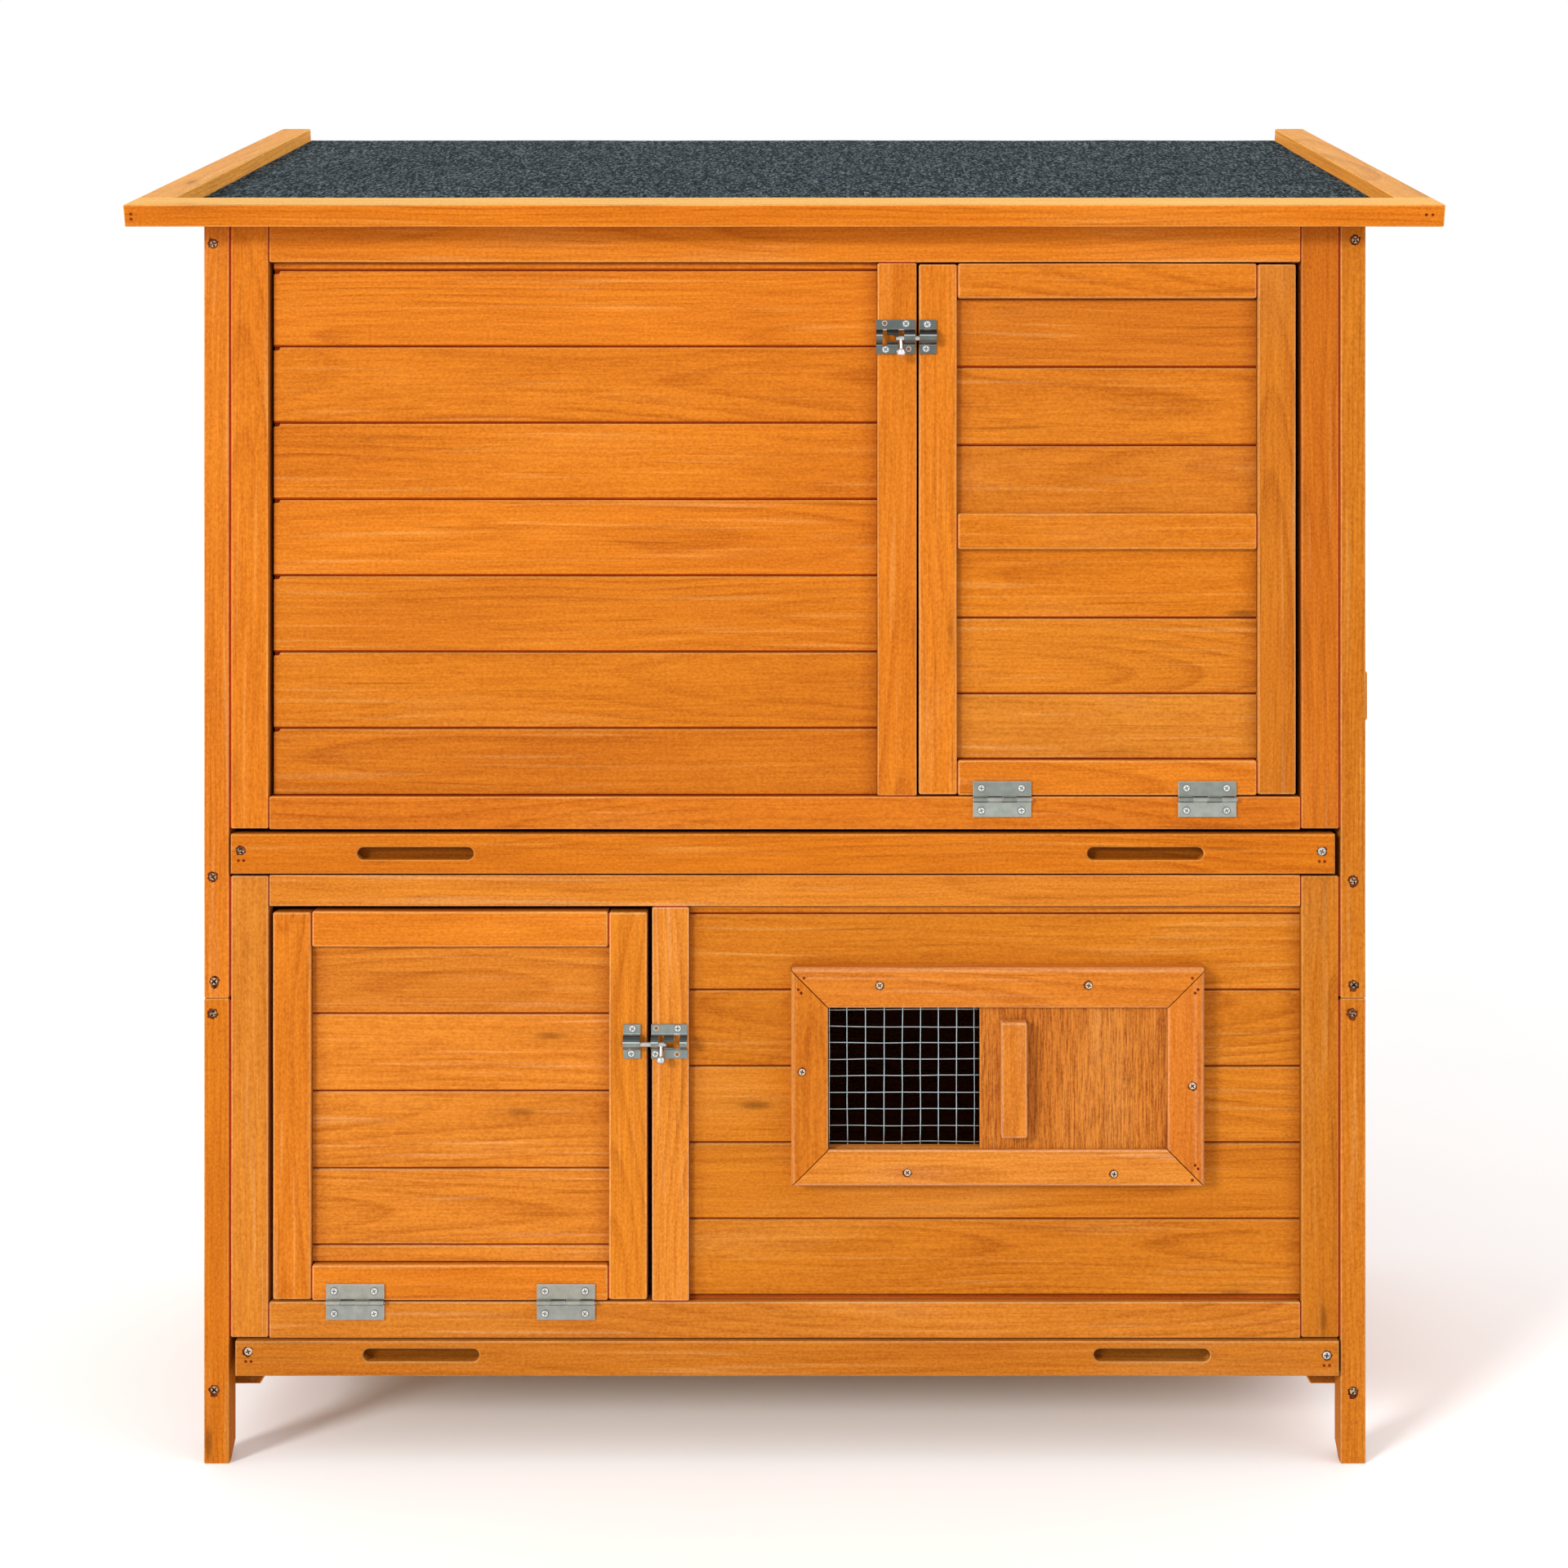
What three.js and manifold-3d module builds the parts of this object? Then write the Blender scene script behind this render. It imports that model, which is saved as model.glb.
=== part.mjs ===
// A two-storey timber rabbit hutch with a felted lean-to roof, two drop-down doors,
// two pull-out trays, two barrel bolts and a small sliding window shutter.
// Millimetres, +Z up, the front faces -Y, the origin is on the floor under the middle.

import * as THREE from 'three';
import { mergeVertices } from 'three/addons/utils/BufferGeometryUtils.js';
import Module from 'manifold-3d';

const wasm = await Module();
wasm.setup();

// ---- driving dimensions ----

const JOINT = 0.3; // the gap left where two glued or resting pieces meet

const ROOF_WIDTH = 920;
const ROOF_DEPTH = 450;
const ROOF_SLOPE = THREE.MathUtils.degToRad(15);
const ROOF_FRONT_TOP = 885.7; // height of the roof's front top edge
const BATTEN = 15.5; // thickness of the roof battens
const FASCIA_DEPTH = 35;
const TRIM_WIDTH = 25.4;
const DECK = 3.8;
const FELT = 1.2;

const FRONT = -205; // plane of the front timbers
const BACK = 205;
const FRAME = 15; // thickness of the frame timbers
const STILE = 26; // width of the frame stiles

const POST = 18.8; // square section of the posts
const POST_IN = 391.6; // half the clear width between the posts
const POST_SEAM = 328.3; // where the posts stand on the legs
const FOOT_FLAT = 7;
const FOOT_RISE = 10;

const BOARD = 9; // thickness of the tongue and groove boards
const BOARD_PITCH = 54;
const GROOVE = 2.2;
const GROOVE_DEPTH = 1.6;
const RECESS = 4.5; // how far the boards lie behind the frame's face

const FRAME_OUT = 390.6; // half width of the two front frames
const FRAME_IN = FRAME_OUT - STILE;

const UPPER = {
  bottom: 447.6, bottomRail: 470.6, topRail: 847.9,
  mullion: [65.4, 93], boards: [-361.5, 65.1], firstGroove: 842.2,
};
const LOWER = {
  bottom: 88.7, bottomRail: 114.1, topRail: 393.4, top: 415.3,
  mullion: [-93.6, -67.7], boards: [-67.4, FRAME_IN - JOINT], firstGroove: 387,
};
const UPPER_DOOR = {
  name: 'upper_door', x: [94.6, 360.6], z: [471.6, 846.9], stile: 26.8, rail: 24.6,
  midRail: [645.2, 670.5], grooves: [773.6, 718.3, 596.2, 542.6],
};
const LOWER_DOOR = {
  name: 'lower_door', x: [-361.2, -97.2], z: [115.2, 389.6], stile: 26.8, rail: 25,
  midRail: null, grooves: [316.2, 261.5, 206.8, 152.6],
};

const HINGE = { width: 41, leaf: 12.6, sheet: 1.2, barrel: 2.3, pin: 0.9, bore: 1.25, offset: 2.5 };
const UPPER_HINGE = { axisZ: 469, x: [132.8, 277.4] };
const LOWER_HINGE = { axisZ: 114.5, x: [-323.4, -174.8] };

const BOLT = {
  sheet: 1.2, rod: 1.8, bore: 2.2, strap: 3.4, stand: 4.2,
  arm: 1.2, armLength: 9, lean: 0.5, knob: 2.6,
};
const UPPER_LATCH = {
  side: 1, edge: 91.8, plate: 27.4, knobAt: 10, keeper: [94.9, 106.9], z: 795, rodEnd: 92.6,
};
const LOWER_LATCH = {
  side: -1, edge: -94.1, plate: 25.4, knobAt: 7.2, keeper: [-113.7, -101.7], z: 298.3, rodEnd: -95.6,
};
const LATCH_HEIGHT = 24;

const WINDOW = { x: [30.6, 268.6], z: [224.7, 324.3], bar: 26, topBar: 27.6, depth: 15 };
const WINDOW_HOLE = { x: [27, 145], z: [221, 328] };
const MESH = { x: [18, 152], z: [214.2, 333], wire: 1, pitchX: 12.85, pitchZ: 11.75 };
const SHUTTER = {
  x: [137, 276], z: [217.4, 331.6], track: [22.4, 277],
  sheet: 3.2, behind: 3.7, clear: 0.35,
};
const SHUTTER_GRIP = { x: [151.2, 169.4], z: [235, 315.8], thick: 11 };

const TRAY = {
  proud: 3, front: 15, lift: 3.8, wall: 14, floor: 3, depth: 372,
  slotX: 82, slotZ: 9, slotDepth: 8,
};
const UPPER_TRAY = {
  name: 'upper_tray', x: [-390.2, 387.6], z: [416.8, 444.6], slots: [-260, 254], slotsAt: 431,
};
const LOWER_TRAY = {
  name: 'lower_tray', x: [-387, 390.4], z: [63, 87.5], slots: [-256, 258.6], slotsAt: 77.7,
};

const RUNNER = { inner: 371.9, height: 18.1, chamfer: [3, 6] };
const SIDE_BOARD_IN = 396; // half the width between the side boards' inner faces
const SIDE_BOTTOM = 49.5;
const SIDE_RAILS = [[49.5, 74.5], [303, 328], [328.6, 353.6], [402, 427]];
const BACK_RAILS = [[49.5, 74.5], [303, 353.6], [402, 427]];
const HANDLE = { length: 250, height: 46, thick: 21, z: 533, chamfer: 4 };

// ---- colours ----

const timber = new THREE.MeshStandardMaterial({ color: 0xd9832a, roughness: 0.62, metalness: 0 });
const plywood = new THREE.MeshStandardMaterial({ color: 0xb8703c, roughness: 0.7, metalness: 0 });
const felt = new THREE.MeshStandardMaterial({ color: 0x38434d, roughness: 0.95, metalness: 0 });
const zinc = new THREE.MeshStandardMaterial({ color: 0xaab2b8, roughness: 0.35, metalness: 0.9 });

// ---- geometry helpers ----

function box([x0, x1], [y0, y1], [z0, z1]) {
  const shape = new THREE.BoxGeometry(x1 - x0, y1 - y0, z1 - z0);
  return shape.translate((x0 + x1) / 2, (y0 + y1) / 2, (z0 + z1) / 2);
}

function extrude(points, length) {
  const shape = new THREE.Shape(points.map(([u, v]) => new THREE.Vector2(u, v)));
  return new THREE.ExtrudeGeometry(shape, { depth: length, bevelEnabled: false });
}

// an outline in (y, z), drawn along X
function alongX(points, [x0, x1]) {
  const turn = new THREE.Matrix4().makeBasis(
    new THREE.Vector3(0, 1, 0), new THREE.Vector3(0, 0, 1), new THREE.Vector3(1, 0, 0));
  return extrude(points, x1 - x0).applyMatrix4(turn).translate(x0, 0, 0);
}

// an outline in (x, z), drawn along Y
function alongY(points, [y0, y1]) {
  const turn = new THREE.Matrix4().makeBasis(
    new THREE.Vector3(1, 0, 0), new THREE.Vector3(0, 0, 1), new THREE.Vector3(0, -1, 0));
  return extrude(points, y1 - y0).applyMatrix4(turn).translate(0, y1, 0);
}

function cylinderX([x0, x1], y, z, radius, sides = 16) {
  const shape = new THREE.CylinderGeometry(radius, radius, x1 - x0, sides);
  return shape.rotateZ(Math.PI / 2).translate((x0 + x1) / 2, y, z);
}

function solid(geometry) {
  const bare = geometry.clone();
  bare.deleteAttribute('normal');
  bare.deleteAttribute('uv');
  const merged = mergeVertices(bare, 1e-4);
  return new wasm.Manifold(new wasm.Mesh({
    numProp: 3,
    vertProperties: new Float32Array(merged.attributes.position.array),
    triVerts: new Uint32Array(merged.index.array),
  }));
}

function geometryOf(manifold) {
  const mesh = manifold.getMesh();
  const shape = new THREE.BufferGeometry();
  shape.setAttribute('position', new THREE.BufferAttribute(new Float32Array(mesh.vertProperties), 3));
  shape.setIndex(new THREE.BufferAttribute(new Uint32Array(mesh.triVerts), 1));
  const faceted = shape.toNonIndexed();
  faceted.computeVertexNormals();
  return faceted;
}

const join = (...parts) => geometryOf(parts.map(solid).reduce((all, next) => all.add(next)));
const cut = (from, ...tools) => geometryOf(
  tools.map(solid).reduce((all, next) => all.subtract(next), solid(from)));

const hutch = new THREE.Group();

function piece(name, geometry, material = timber, parent = hutch) {
  const mesh = new THREE.Mesh(geometry, material);
  mesh.name = name;
  parent.add(mesh);
  return mesh;
}

// ---- roof line ----

const ROOF_Y = (ROOF_DEPTH + BATTEN * Math.sin(ROOF_SLOPE)) / 2;

// height of the roof's underside, less the joint, above a point at depth y
function wallTop(y) {
  const underEdgeY = -ROOF_Y + BATTEN * Math.sin(ROOF_SLOPE);
  const underEdgeZ = ROOF_FRONT_TOP - BATTEN * Math.cos(ROOF_SLOPE);
  return underEdgeZ + (y - underEdgeY) * Math.tan(ROOF_SLOPE) - 2 * JOINT;
}

// an upright timber between two depths whose top is cut to the roof's slope
function underRoof([y0, y1], bottom) {
  return [[y0, bottom], [y1, bottom], [y1, wallTop(y1)], [y0, wallTop(y0)]];
}

function roof() {
  const group = new THREE.Group();
  group.position.set(0, -ROOF_Y, ROOF_FRONT_TOP);
  group.rotation.x = ROOF_SLOPE;
  const length = ROOF_DEPTH / Math.cos(ROOF_SLOPE);
  const half = ROOF_WIDTH / 2;
  const sheetX = half - TRIM_WIDTH - JOINT;
  const behind = FASCIA_DEPTH + JOINT;
  piece('roof_fascia', box([-half, half], [0, FASCIA_DEPTH], [-BATTEN, 0]), timber, group);
  piece('roof_left_trim', box([-half, TRIM_WIDTH - half], [behind, length], [-BATTEN, 0]), timber, group);
  piece('roof_right_trim', box([half - TRIM_WIDTH, half], [behind, length], [-BATTEN, 0]), timber, group);
  const deckTop = DECK - BATTEN;
  piece('roof_deck', box([-sheetX, sheetX], [behind, length], [-BATTEN, deckTop]), plywood, group);
  const feltZ = [deckTop + JOINT, deckTop + JOINT + FELT];
  piece('roof_felt', box([-sheetX, sheetX], [behind, length], feltZ), felt, group);
  hutch.add(group);
}

// ---- posts and legs ----

// a foot's outline: the heel towards the middle of the hutch is cut away
function legOutline(outerY, inward, top) {
  const heel = outerY + inward * POST;
  return [
    [outerY, 0], [outerY + inward * FOOT_FLAT, 0], [heel, FOOT_RISE],
    [heel, top(heel)], [outerY, top(outerY)],
  ];
}

function posts() {
  const sides = { left: [-POST_IN - POST, -POST_IN], right: [POST_IN, POST_IN + POST] };
  for (const [side, x] of Object.entries(sides)) {
    const frontY = [FRONT, FRONT + POST];
    piece(`front_${side}_post`, alongX(underRoof(frontY, POST_SEAM + JOINT), x));
    piece(`front_${side}_leg`, alongX(legOutline(FRONT, 1, () => POST_SEAM), x));
    piece(`rear_${side}_post`, alongX(legOutline(BACK, -1, wallTop), x));
  }
}

// ---- boards ----

// tongue and groove boards seen in section: u runs through the boards and v up them.
// faceU is the grooved face and backU the plain one.
function boardOutline(faceU, backU, [v0, v1], grooves) {
  const inward = Math.sign(backU - faceU) * GROOVE_DEPTH;
  const face = [];
  for (const g of [...grooves].sort((a, b) => a - b)) {
    if (g - GROOVE / 2 > v0 + 1 && g + GROOVE / 2 < v1 - 1) {
      face.push([faceU, g - GROOVE / 2], [faceU + inward, g], [faceU, g + GROOVE / 2]);
    }
  }
  return [[backU, v0], [faceU, v0], ...face, [faceU, v1], [backU, v1]];
}

function evenGrooves(first, lowest) {
  const grooves = [];
  for (let z = first; z > lowest; z -= BOARD_PITCH) grooves.push(z);
  return grooves;
}

function boardsInFront(x, z, grooves) {
  const face = FRONT + RECESS;
  return alongX(boardOutline(face, face + BOARD, z, grooves), x);
}

// ---- front frames ----

function upperFront() {
  const y = [FRONT, FRONT + FRAME];
  const { bottom, bottomRail, topRail } = UPPER;
  const rail = [-FRAME_IN + JOINT, FRAME_IN - JOINT];
  piece('upper_left_stile', alongX(underRoof(y, bottom), [-FRAME_OUT, -FRAME_IN]));
  piece('upper_right_stile', alongX(underRoof(y, bottom), [FRAME_IN, FRAME_OUT]));
  piece('upper_top_rail', alongX(underRoof(y, topRail), rail));
  piece('upper_bottom_rail', box(rail, y, [bottom, bottomRail]));
  const between = [bottomRail + JOINT, topRail - JOINT];
  piece('upper_mullion', box(UPPER.mullion, y, between));
  const grooves = evenGrooves(UPPER.firstGroove, bottomRail);
  piece('upper_cladding', boardsInFront(UPPER.boards, between, grooves));
}

function lowerFront() {
  const y = [FRONT, FRONT + FRAME];
  const { bottom, bottomRail, topRail, top } = LOWER;
  const rail = [-FRAME_IN + JOINT, FRAME_IN - JOINT];
  piece('lower_left_stile', box([-FRAME_OUT, -FRAME_IN], y, [bottom, top]));
  piece('lower_right_stile', box([FRAME_IN, FRAME_OUT], y, [bottom, top]));
  piece('lower_top_rail', box(rail, y, [topRail, top]));
  piece('lower_bottom_rail', box(rail, y, [bottom, bottomRail]));
  const between = [bottomRail + JOINT, topRail - JOINT];
  piece('lower_mullion', box(LOWER.mullion, y, between));
  const grooves = evenGrooves(LOWER.firstGroove, bottomRail);
  const hole = box(WINDOW_HOLE.x, [FRONT, FRONT + FRAME], WINDOW_HOLE.z);
  piece('lower_cladding', cut(boardsInFront(LOWER.boards, between, grooves), hole));
}

// ---- side and back panels ----

function sidePanel(name, side) {
  const between = [FRONT + POST + JOINT, BACK - POST - JOINT];
  const top = wallTop(BACK) + 5; // trimmed to the roof's slope below
  const inner = side * SIDE_BOARD_IN;
  const outer = side * (SIDE_BOARD_IN + BOARD);
  const grooves = evenGrooves(POST_SEAM + 12 * BOARD_PITCH, SIDE_BOTTOM);
  const boards = alongY(boardOutline(outer, inner, [SIDE_BOTTOM, top], grooves), between);
  const railX = [SIDE_BOARD_IN + 2, POST_IN + POST - 1].map((x) => side * x).sort((a, b) => a - b);
  const rails = SIDE_RAILS.map((z) => box(railX, between, z));
  const ledgeIn = side * RUNNER.inner;
  const [chamferX, chamferZ] = RUNNER.chamfer;
  const ledges = [LOWER_TRAY, UPPER_TRAY].map((tray) => {
    const z = tray.z[0] + TRAY.lift - JOINT;
    const low = z - RUNNER.height;
    return alongY([
      [inner + side, low], [ledgeIn + side * chamferX, low],
      [ledgeIn, low + chamferZ], [ledgeIn, z], [inner + side, z],
    ], between);
  });
  const aboveRoof = alongX([
    [-ROOF_DEPTH, wallTop(-ROOF_DEPTH)], [ROOF_DEPTH, wallTop(ROOF_DEPTH)],
    [ROOF_DEPTH, 2 * ROOF_FRONT_TOP], [-ROOF_DEPTH, 2 * ROOF_FRONT_TOP],
  ], [-ROOF_WIDTH, ROOF_WIDTH]);
  piece(name, cut(join(boards, ...rails, ...ledges), aboveRoof));
}

function backPanel() {
  const face = BACK - 5;
  const x = [JOINT - POST_IN, POST_IN - JOINT];
  const topRail = [wallTop(BACK) - 30, wallTop(face - BOARD)];
  const grooves = evenGrooves(POST_SEAM + 12 * BOARD_PITCH, SIDE_BOTTOM);
  const boards = alongX(boardOutline(face, face - BOARD, [SIDE_BOTTOM, topRail[1]], grooves), x);
  const rails = [...BACK_RAILS, topRail].map((z) => box(x, [face - 2, BACK], z));
  piece('back_panel', join(boards, ...rails));
}

function sideHandle(name, side) {
  const { length, height, thick, z, chamfer } = HANDLE;
  const root = side * (SIDE_BOARD_IN + BOARD + JOINT);
  const face = side * (POST_IN + POST + thick);
  const shoulder = face - side * chamfer;
  const low = z - height / 2;
  const high = z + height / 2;
  piece(name, alongY([
    [root, low], [shoulder, low], [face, low + chamfer],
    [face, high - chamfer], [shoulder, high], [root, high],
  ], [-length / 2, length / 2]));
}

// ---- doors ----

function door({ name, x, z, stile, rail, midRail, grooves }) {
  const y = [FRONT, FRONT + FRAME];
  const inner = [x[0] + stile + JOINT, x[1] - stile - JOINT];
  piece(`${name}_left_stile`, box([x[0], x[0] + stile], y, z));
  piece(`${name}_right_stile`, box([x[1] - stile, x[1]], y, z));
  piece(`${name}_top_rail`, box(inner, y, [z[1] - rail, z[1]]));
  piece(`${name}_bottom_rail`, box(inner, y, [z[0], z[0] + rail]));
  const face = RECESS + BOARD + FRONT;
  if (midRail) piece(`${name}_mid_rail`, box(inner, [FRONT, FRONT + RECESS - JOINT], midRail));
  const opening = [z[0] + rail + JOINT, z[1] - rail - JOINT];
  piece(`${name}_cladding`, alongX(boardOutline(FRONT + RECESS, face, opening, grooves), inner));
}

// ---- hinges ----

// a leaf whose sheet lies on the timber and whose two knuckles close round the pin.
// up is 1 for the leaf above the pin and -1 for the one below.
function hingeLeaf(name, left, axisZ, up) {
  const { width, leaf, sheet, barrel, pin, bore, offset } = HINGE;
  const axisY = FRONT - offset;
  const sheetY = [FRONT - JOINT - sheet, FRONT - JOINT];
  const quarter = width / 4;
  const slots = up > 0 ? [0, 2] : [1, 3];
  const knuckles = slots.map((slot) => {
    const x = [left + slot * quarter + JOINT / 2, left + (slot + 1) * quarter - JOINT / 2];
    const web = [axisZ, axisZ + up * (barrel + 0.8)].sort((a, b) => a - b);
    return [cylinderX(x, axisY, axisZ, barrel), box(x, sheetY, web)];
  }).flat();
  const plateZ = [axisZ + up * (barrel + JOINT), axisZ + up * leaf].sort((a, b) => a - b);
  const plate = box([left, left + width], sheetY, plateZ);
  const pinX = [left + JOINT, left + width - JOINT];
  const shape = up > 0
    ? cut(join(plate, ...knuckles), cylinderX([left - 1, left + width + 1], axisY, axisZ, bore))
    : join(plate, ...knuckles, cylinderX(pinX, axisY, axisZ, pin));
  piece(name, shape, zinc);
}

function hinges(storey, { axisZ, x }) {
  ['left', 'right'].forEach((side, i) => {
    hingeLeaf(`${storey}_${side}_hinge_door_leaf`, x[i], axisZ, 1);
    hingeLeaf(`${storey}_${side}_hinge_fixed_leaf`, x[i], axisZ, -1);
  });
}

// ---- barrel bolts ----

// a strap bent over the rod: an arch on two short legs, bored for the rod
function strap([x0, x1], z) {
  const { sheet, bore, strap: outer, stand } = BOLT;
  const rodY = FRONT - JOINT - stand;
  const legY = FRONT - JOINT - sheet / 2;
  const arch = new THREE.Shape();
  arch.moveTo(legY, z + outer);
  arch.lineTo(rodY, z + outer);
  arch.absarc(rodY, z, outer, Math.PI / 2, 3 * Math.PI / 2, false);
  arch.lineTo(legY, z - outer);
  arch.closePath();
  const points = arch.getPoints(8).map((p) => [p.x, p.y]);
  return cut(alongX(points, [x0, x1]), cylinderX([x0 - 1, x1 + 1], rodY, z, bore));
}

function latch(storey, { side, edge, plate, knobAt, keeper, z, rodEnd }) {
  const { sheet, rod, stand, arm, armLength, lean, knob } = BOLT;
  const sheetY = [FRONT - JOINT - sheet, FRONT - JOINT];
  const rodY = FRONT - JOINT - stand;
  const sheetZ = [z - LATCH_HEIGHT / 2, z + LATCH_HEIGHT / 2];
  const span = (from, to) => [edge - side * from, edge - side * to].sort((a, b) => a - b);
  piece(`${storey}_bolt_plate`, join(
    box(span(0, plate), sheetY, sheetZ),
    strap(span(1, knobAt - 2), z), strap(span(plate - 4, plate), z)), zinc);
  piece(`${storey}_keeper`, join(box(keeper, sheetY, sheetZ), strap(keeper, z)), zinc);
  const rodX = [rodEnd, edge - side * (knobAt + 3)].sort((a, b) => a - b);
  const armX = edge - side * knobAt;
  const down = new THREE.Vector3(0, -Math.sin(lean), -Math.cos(lean));
  const stem = new THREE.CylinderGeometry(arm, arm, armLength, 10);
  stem.applyQuaternion(new THREE.Quaternion().setFromUnitVectors(new THREE.Vector3(0, 1, 0), down));
  stem.translate(armX, rodY + down.y * armLength / 2, z + down.z * armLength / 2);
  const ball = new THREE.SphereGeometry(knob, 12, 8);
  ball.translate(armX, rodY + down.y * armLength, z + down.z * armLength);
  piece(`${storey}_bolt`, join(cylinderX(rodX, rodY, z, rod, 14), stem, ball), zinc);
}

// ---- window ----

// a rectangular frame, grooved inside for the shutter and rebated behind for the mesh
function windowUnit() {
  const { x, z, bar, topBar, depth } = WINDOW;
  const back = FRONT + RECESS - JOINT;
  const face = back - depth;
  const grow = ([low, high], by) => [low - by, high + by];
  const blank = box(grow(x, bar), [face, back], [z[0] - bar, z[1] + topBar]);
  const opening = box(x, [face - 1, back + 1], z);
  const seat = box(grow(MESH.x, JOINT), [back - MESH.wire - JOINT, back + 1], grow(MESH.z, JOINT));
  const { sheet, behind, clear, track } = SHUTTER;
  const shutterY = [face + behind, face + behind + sheet];
  const groove = box(track, grow(shutterY, clear), grow(SHUTTER.z, clear));
  piece('window_frame', cut(blank, opening, seat, groove));
  piece('window_mesh', grille(back), zinc);
  const gripY = [shutterY[0] - SHUTTER_GRIP.thick, shutterY[0] + 1];
  const grip = box(SHUTTER_GRIP.x, gripY, SHUTTER_GRIP.z);
  piece('window_shutter', join(box(SHUTTER.x, shutterY, SHUTTER.z), grip), plywood);
}

// welded mesh: a flat lattice of crossing wires
function grille(back) {
  const { x, z, wire, pitchX, pitchZ } = MESH;
  const y = [back - wire, back];
  const wires = [];
  for (let at = x[0]; at <= x[1] - wire; at += pitchX) wires.push(box([at, at + wire], y, z));
  for (let at = z[0]; at <= z[1] - wire; at += pitchZ) wires.push(box(x, y, [at, at + wire]));
  return join(...wires);
}

// ---- trays ----

// a stadium-shaped blind slot cut into the front of a tray
function fingerSlot(x, z, face) {
  const half = TRAY.slotX / 2 - TRAY.slotZ / 2;
  const slot = new THREE.Shape();
  slot.absarc(x + half, z, TRAY.slotZ / 2, -Math.PI / 2, Math.PI / 2, false);
  slot.absarc(x - half, z, TRAY.slotZ / 2, Math.PI / 2, 3 * Math.PI / 2, false);
  const points = slot.getPoints(6).map((p) => [p.x, p.y]);
  return alongY(points, [face - 1, face + TRAY.slotDepth]);
}

function tray({ name, x, z, slots, slotsAt }) {
  const face = FRONT - TRAY.proud;
  const faceY = [face, face + TRAY.front];
  const boardFront = box(x, faceY, z);
  piece(`${name}_front`, cut(boardFront, ...slots.map((s) => fingerSlot(s, slotsAt, face))));
  const { lift, wall, floor, depth } = TRAY;
  const outY = [faceY[1] + JOINT, faceY[1] + JOINT + depth];
  const outZ = [z[0] + lift, z[1] - lift];
  const outX = [x[0] + 1, x[1] - 1];
  const hollow = box([outX[0] + wall, outX[1] - wall], [outY[0] - 1, outY[1] - wall],
    [outZ[0] + floor, outZ[1] + 1]);
  piece(name, cut(box(outX, outY, outZ), hollow), plywood);
}

// ---- assembly ----

posts();
sidePanel('left_side_panel', -1);
sidePanel('right_side_panel', 1);
backPanel();
sideHandle('left_side_handle', -1);
sideHandle('right_side_handle', 1);
upperFront();
lowerFront();
windowUnit();
door(UPPER_DOOR);
door(LOWER_DOOR);
hinges('upper', UPPER_HINGE);
hinges('lower', LOWER_HINGE);
latch('upper', UPPER_LATCH);
latch('lower', LOWER_LATCH);
tray(UPPER_TRAY);
tray(LOWER_TRAY);
roof();

export default hutch;
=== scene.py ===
import itertools
import math
import random

import bmesh
import bpy
from mathutils import Matrix, Vector, noise


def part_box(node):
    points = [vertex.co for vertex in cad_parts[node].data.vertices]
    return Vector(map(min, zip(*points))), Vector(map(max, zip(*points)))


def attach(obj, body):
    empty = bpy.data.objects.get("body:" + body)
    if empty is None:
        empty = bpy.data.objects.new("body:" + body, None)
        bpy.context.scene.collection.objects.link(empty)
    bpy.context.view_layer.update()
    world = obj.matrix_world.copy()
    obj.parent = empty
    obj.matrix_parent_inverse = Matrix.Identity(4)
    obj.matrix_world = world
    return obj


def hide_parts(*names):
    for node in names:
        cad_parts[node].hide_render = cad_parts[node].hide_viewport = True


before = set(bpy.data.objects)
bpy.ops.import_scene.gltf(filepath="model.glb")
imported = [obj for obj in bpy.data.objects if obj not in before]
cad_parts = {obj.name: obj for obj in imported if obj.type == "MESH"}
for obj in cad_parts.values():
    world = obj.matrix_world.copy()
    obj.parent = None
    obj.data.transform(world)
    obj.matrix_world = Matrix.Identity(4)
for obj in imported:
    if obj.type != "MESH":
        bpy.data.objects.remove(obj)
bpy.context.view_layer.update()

CHANCE = random.Random(11)
SLOPE = math.radians(15)
COS, SIN, TAN = math.cos(SLOPE), math.sin(SLOPE), math.tan(SLOPE)

# kinds of face, kept in a face layer; the last four are darkened as painted shade
ARRIS, RECESS, UNDERCUT, TONGUE, INNER = 1, 2, 3, 4, 5
SHADOWS = {RECESS: (0.44, 0.42, 0.22), UNDERCUT: (0.62, 0.30, 0.30), TONGUE: (0.62, 0.18, 0.25),
           INNER: (0.50, 0.45, 0.50)}

# ---- geometry, in millimetres until a piece is made ----


def span(node):
    """A CAD node's (x, y, z) spans at rest, in millimetres."""
    low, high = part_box(node)
    return [(low[i] * 1000, high[i] * 1000) for i in range(3)]


def rect(a, b):
    return [(a[0], b[0]), (a[1], b[0]), (a[1], b[1]), (a[0], b[1])]


def circle(x, z, radius, sides):
    turns = [2 * math.pi * n / sides for n in range(sides)]
    return [(x + radius * math.cos(a), z + radius * math.sin(a)) for a in turns]


def prism(axis, outline, ends):
    """An outline in the other two axes, in order, drawn along an axis."""
    i = "xyz".index(axis)
    j, k = [n for n in range(3) if n != i]
    bm = bmesh.new()
    rings = []
    for end in ends:
        ring = []
        for a, b in outline:
            co = [0, 0, 0]
            co[i], co[j], co[k] = end, a, b
            ring.append(bm.verts.new(co))
        rings.append(ring)
    bm.faces.new(rings[0])
    bm.faces.new(list(reversed(rings[1])))
    for n in range(len(outline)):
        m = (n + 1) % len(outline)
        bm.faces.new((rings[0][n], rings[1][n], rings[1][m], rings[0][m]))
    bmesh.ops.recalc_face_normals(bm, faces=bm.faces)
    return bm


def block(x, y, z):
    return prism("y", rect(x, z), y)


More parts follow.
